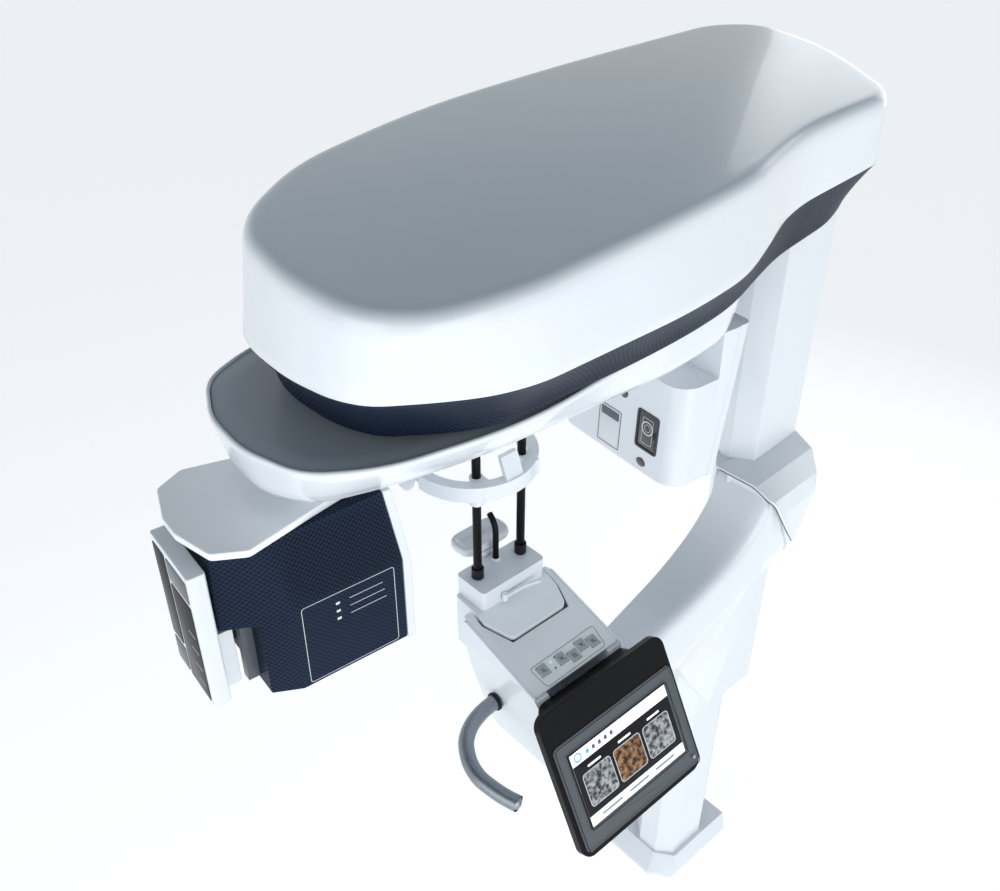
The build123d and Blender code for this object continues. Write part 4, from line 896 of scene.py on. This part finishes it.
def keypad():
    """Five keys with a bar, arrow or ring on each, the line round them, and two indicator lights."""
    border = soft_corners([(-677, 3), (-548, 5), (-541, 44), (-681, 42)], 7)
    frame_line("keypad_line", border, 0.7, 0.0, 0.35, console_place, MARK, "lift", "console_grey")
    half = KEY_SIZE / 2
    for index, (x, u) in enumerate(KEY_PLACES):
        number = index + 1
        body = "key_%d" % number
        outline = rectangle(x - half, x + half, u - half, u + half, 4.5, 6)
        rings = [console_place(ring) for ring in stack(outline, KEY_CAP)]
        skin("key_cap_%d" % number, rings, KEY, body, "key_grey", ("button_%d" % number,), angle=50.0)
        if index in (1, 3):
            way = 1 if index == 1 else -1
            arrow = [(x - 3.4, u - 2.2 * way), (x + 3.4, u - 2.2 * way), (x, u + 3.2 * way)]
            key_mark(str(index), arrow, body)
        elif index == 2:
            ring = round_outline(x, u, 3.4)
            frame_line("key_mark_2", ring, 1.0, *KEY_MARK, console_place, MARK, body, "key_grey")
        else:
            for row, shift in enumerate((-1.7, 1.7)):
                bar = rectangle(x - 3.2, x + 3.2, u + shift - 0.55, u + shift + 0.55, 0.4)
                key_mark("%d_%d" % (index, row), bar, body)
    for index, u in enumerate((21.0, 33.0)):
        plate("keypad_light_%d" % index, round_outline(-644, u, 1.7, 20), 0.0, 0.7, console_place,
              LED_GREEN if index else MARK, "lift", "console_grey", edge=0.2)


SHUTTLE = [(-667, -104), (-552, -104), (-540, -70), (-536, 14), (-684, 14), (-688, -60)]
SHUTTLE_GAP = 2.3
GASKET_END_Y = -33.0            # just before the console's rear edge
GASKET_DROP = 3.2               # its centre line below the console top


def shuttle_gasket():
    """Dark lip in the gap round the sliding chin support, between the rear corners of the console."""
    loop = soft_corners(inset(SHUTTLE, -SHUTTLE_GAP), 12)
    # Start the loop at the back, so that the part that is kept is one run.
    back = len(loop) // 2 + 6
    path = []
    for x, y in loop[back:] + loop[:back]:
        if y < GASKET_END_Y:
            top = CONSOLE_ORIGIN.z + (y - CONSOLE_ORIGIN.y) * math.tan(CONSOLE_SLOPE)
            path.append((x, y, top - GASKET_DROP))
    tube("shuttle_gasket", path, 1.5, SEAM, "lift", "console_grey", sides=12)


# ---------- chin rest and head support
UP = (0, 0, 1)
BLOCK_TOP = 1320.0
RODS_X = (-654.5, -563.5)
ROD_Y = -8.0
ROD_R = 7.0
ROD_FOOT = 1292
ROD_TOP = 1556
ROD_STEP = 12
RING_Z = (1490.0, 1516.0)
RING_CENTRE = (-612.0, 52.0)
RING_MIDDLE_R = 94.0
TEMPLE_FLARE = 14.0
KNUCKLE_Z = 1496.6
BITE_X = -606
BITE_PATH = [(4, 1290), (4, 1330), (4, 1372), (6, 1388), (12, 1399), (20, 1407)]
BITE_R = 5.0
# Rings of the chin cup and of its neck: distance inside the outline, and height.
CUP_DISH = ((14.0, 1334.2), (5.0, 1335.0), (1.4, 1337.6), (0.0, 1342.0), (0.2, 1346.5), (1.6, 1350.2),
            (4.2, 1351.8), (7.5, 1351.2), (12.0, 1348.6), (18.0, 1346.4))
CUP_NECK = ((0.8, 1300.2), (0.0, 1301.0), (0.0, 1318.0), (-1.5, 1328.0), (-4.0, 1335.0))
# Temple pad in side view, and its rings: distance inside the outline, and distance from its middle plane.
TEMPLE_LEAF = [(17, 1503), (21, 1480), (33, 1469.5), (49, 1476), (61, 1494), (60, 1508), (47, 1516),
               (28, 1516.5)]
TEMPLE_WEB = [(-1, 1497.5), (30, 1499.5), (30, 1508.5), (-1, 1508.5)]
LEAF_RINGS = ((3.2, -3.6), (1.2, -3.2), (0.2, -1.6), (0.2, 1.6), (1.2, 3.2), (3.2, 3.6))
WEB_RINGS = ((0.8, -4.8), (0.0, -4.0), (0.0, 4.0), (0.8, 4.8))


def rod_side(points):
    """Places (x, z, outwards) points on the operator side of the rods."""
    return [(x, ROD_Y - out, z) for x, z, out in points]


def head_support():
    """The two rods with their sockets and clamps, and the bite bar."""
    for index, x in enumerate(RODS_X):
        path = [(x, ROD_Y, z) for z in range(ROD_FOOT, ROD_TOP + 1, ROD_STEP)]
        tube("head_rod_%d" % index, path, ROD_R - 0.1, BLACK, "chin_rest", "black_gloss",
             ("head_rods",) if index == 0 else (), sides=36)
        ring_band("rod_socket_%d" % index, (x, ROD_Y, BLOCK_TOP), UP, ROD_R, 10.0, 20.0, BLACK, "chin_rest",
                  "black_gloss", roll=1.2)
        ring_band("rod_clamp_%d" % index, (x, ROD_Y, RING_Z[0] - 24), UP, ROD_R, 11.2, 9.0, WHITE,
                  "chin_rest", "shell_white", roll=1.5)
        plate("rod_screw_%d" % index, round_outline(x, RING_Z[0] - 12, 2.4, 20), 10.6, 11.6, rod_side, STEEL,
              "chin_rest", "steel", edge=0.3)
    bite = smooth_open([(BITE_X, y, z) for y, z in BITE_PATH], 6)
    tube("bite_bar", bite, BITE_R, BLACK, "bite", "black_gloss", ("bite_rod",), sides=30)
    ring_band("bite_groove", (BITE_X, BITE_PATH[0][0], BLOCK_TOP), UP, BITE_R + 0.05, 8.0, 6.0, WHITE,
              "chin_rest", "shell_white", roll=1.0)


def chin_cup():
    """Shallow dished plate under the chin, on a faceted neck."""
    dish = rectangle(-656, -556, 15.5, 69, 24, 8)
    skin("chin_cup_dish", stack(dish, CUP_DISH), CLEAR, "chin", "shell_white", ("chin_cup",), angle=55.0)
    neck = rectangle(-620, -592, 20.5, 31.8, 2.5, 4)
    skin("chin_cup_neck", stack(neck, CUP_NECK), WHITE, "chin", "shell_white", angle=40.0)


def temple(side, word):
    """Leaf-shaped temple pad on its hinge knuckle."""
    body = "temple_" + word
    hinge = Vector((RING_CENTRE[0] + side * RING_MIDDLE_R, RING_CENTRE[1], 0.0))
    turn = Matrix.Rotation(math.radians(-side * TEMPLE_FLARE), 3, "Z")

    def place(points):
        return [tuple(turn @ Vector((x, y, z)) + hinge) for y, z, x in points]

    leaf = smooth_closed(TEMPLE_LEAF, 6)
    rings = [place(ring) for ring in stack(leaf, LEAF_RINGS)]
    skin("temple_leaf_" + word, rings, CLEAR, body, "clear_plastic", ("temple_pad_" + word,), angle=60.0)
    rings = [place(ring) for ring in stack(TEMPLE_WEB, WEB_RINGS)]
    skin("temple_link_" + word, rings, CLEAR, body, "clear_plastic", angle=40.0)
    ring_band("temple_knuckle_" + word, (hinge.x, hinge.y, KNUCKLE_Z), UP, 2.3, 6.9, 12.8, CLEAR, body,
              "clear_plastic", roll=0.8)
    # The pin's points are in the model's frame already.
    pin = round_outline(hinge.x, hinge.y, 3.0, 24)
    plate("temple_pin_" + word, pin, RING_Z[1], RING_Z[1] + 1.0, list, STEEL, "chin_rest", "steel", edge=0.3)


# ---------- tube head and detector trim
# The tube head's outlet face, in the C-arm's own frame: X at its foot, its foot and top, and how far it
# leans back between them.
TUBE_FACE_X = 255.0
TUBE_FACE_Z = (1407.0, 1668.0)
TUBE_FACE_RETREAT = 8.0
DETECTOR_SIDE_Y = -98.0
MODULE_FACE_X = -518.0


def tube_face(points):
    """Places (y, z, outwards) points on the outlet face."""
    foot, top = TUBE_FACE_Z
    lean = TUBE_FACE_RETREAT / (top - foot)
    return arm_place([(TUBE_FACE_X + (z - foot) * lean - out, y, z) for y, z, out in points])


def detector_side(points):
    """Places (x, z, outwards) points on the detector's operator side."""
    return arm_place([(x, DETECTOR_SIDE_Y - out, z) for x, z, out in points])


def module_face(points):
    """Places (y, z, outwards) points on the free side of the sensor module."""
    return arm_place([(MODULE_FACE_X - out, y, z) for y, z, out in points])


def outlet_line(name, outline, width, high, finish, slot):
    frame_line("outlet_" + name, outline, width, -0.6, high, tube_face, finish, "c_arm", slot)


def tube_head_trim():
    """Beam outlet, laser lenses and rating label on the tube head."""
    outlet_line("rim", rectangle(-57.5, -7.5, 1449.5, 1522.5, 7), 3.4, 0.9, SEAM, "dark_glass")
    plate("outlet_pane", rectangle(-54, -11, 1453, 1519, 5), -2.0, -0.6, tube_face, DARK_GLASS, "c_arm",
          "dark_glass", ("collimator_window",), 0.3)
    outlet_line("ring", round_outline(-32, 1492, 13.0, 40), 2.6, 0.2, STEEL, "steel")
    outlet_line("inner_ring", round_outline(-32, 1492, 7.0, 32), 1.0, 0.0, STEEL, "steel")
    outlet_line("frame", rectangle(-44, -20, 1462, 1510, 3), 1.0, -0.2, STEEL, "steel")
    for index, (y, z, wide, tall) in enumerate([(27, 1531, 8.0, 9.5), (-26, 1424, 10.5, 7.5)]):
        plate("laser_lens_%d" % index, round_outline(y, z, wide, 36, tall), -0.2, 0.9, tube_face, DARK_GLASS,
              "c_arm", "dark_glass", ("laser_windows",) if index == 0 else (), 0.5)
    label = rectangle(28, 81, 1416, 1491, 3)
    plate("tube_label", label, -0.1, 0.35, tube_face, LINE, "c_arm", "white_plastic", edge=0.1)
    frame_line("tube_label_rim", label, 1.6, 0.3, 0.5, tube_face, MARK, "c_arm", "white_plastic")
    for name, bottom, top, finish in (("field", 1421, 1462, CONSOLE), ("band", 1470, 1486, MARK)):
        plate("tube_label_" + name, rectangle(33, 76, bottom, top, 2), 0.35, 0.45, tube_face, finish, "c_arm",
              "white_plastic", edge=0.05)


def detector_mark(name, outline):
    plate("detector_" + name, outline, 0.0, 0.3, detector_side, LINE, "c_arm", "navy_plastic", edge=0.05)


def detector_trim():
    """Line, dots and bars on the detector's operator side, and the panels of the sensor module."""
    panel = rectangle(-398, -262, 1390, 1521, 5)
    frame_line("detector_label_line", panel, 0.8, 0.0, 0.3, detector_side, LINE, "c_arm", "navy_plastic")
    for index in range(3):
        z = 1503 - index * 13
        detector_mark("tick_%d" % index, rectangle(-330, -280 + index * 2, z, z + 0.8))
        detector_mark("dot_%d" % index, rectangle(-350, -344, z - 1.5, z + 2.5, 1))
    panels = [(-58, 2, 1400, 1560, BLACK), (-58, 2, 1566, 1600, BEZEL), (8, 43, 1400, 1440, BEZEL),
              (8, 43, 1448, 1600, BLACK)]
    for index, (y0, y1, z0, z1, finish) in enumerate(panels):
        panel = rectangle(y0, y1, z0, z1, 3)
        plate("module_panel_%d" % index, panel, 0.0, 0.8, module_face, finish, "sensor", "black_gloss",
              edge=0.3)
    for index in range(4):
        z = 1420 + index * 28
        tick = rectangle(-50, -30, z, z + 1.2)
        plate("module_tick_%d" % index, tick, 0.8, 1.0, module_face, LINE, "sensor", "black_gloss", edge=0.05)


beam()
bridge()
handle()
arm_skin()
arm_root()
collar()
covers()
screen()
keypad()
shuttle_gasket()
head_support()
chin_cup()
temple(-1, "left")
temple(1, "right")
tube_head_trim()
detector_trim()

# ---------- floor and size
FLOOR_HALF = 14.0
FLOOR_DROP = 0.001
FLOOR_GLOW = 0.5                # the paper-white floor of a product photo


def studio_floor():
    grid = bmesh.new()
    bmesh.ops.create_grid(grid, x_segments=8, y_segments=8, size=FLOOR_HALF)
    mesh = bpy.data.meshes.new("studio_floor")
    grid.to_mesh(mesh)
    grid.free()
    pale = plastic("studio_pale", (0.93, 0.94, 0.95), 0.6, shade=0.995)
    shader = pale.node_tree.nodes["Principled BSDF"]
    shader.inputs["Emission Color"].default_value = (1.0, 1.0, 1.0, 1.0)
    shader.inputs["Emission Strength"].default_value = FLOOR_GLOW
    mesh.materials.append(pale)
    floor = bpy.data.objects.new("studio_floor", mesh)
    floor.location = (0.0, 0.0, -FLOOR_DROP)
    scene.collection.objects.link(floor)


studio_floor()
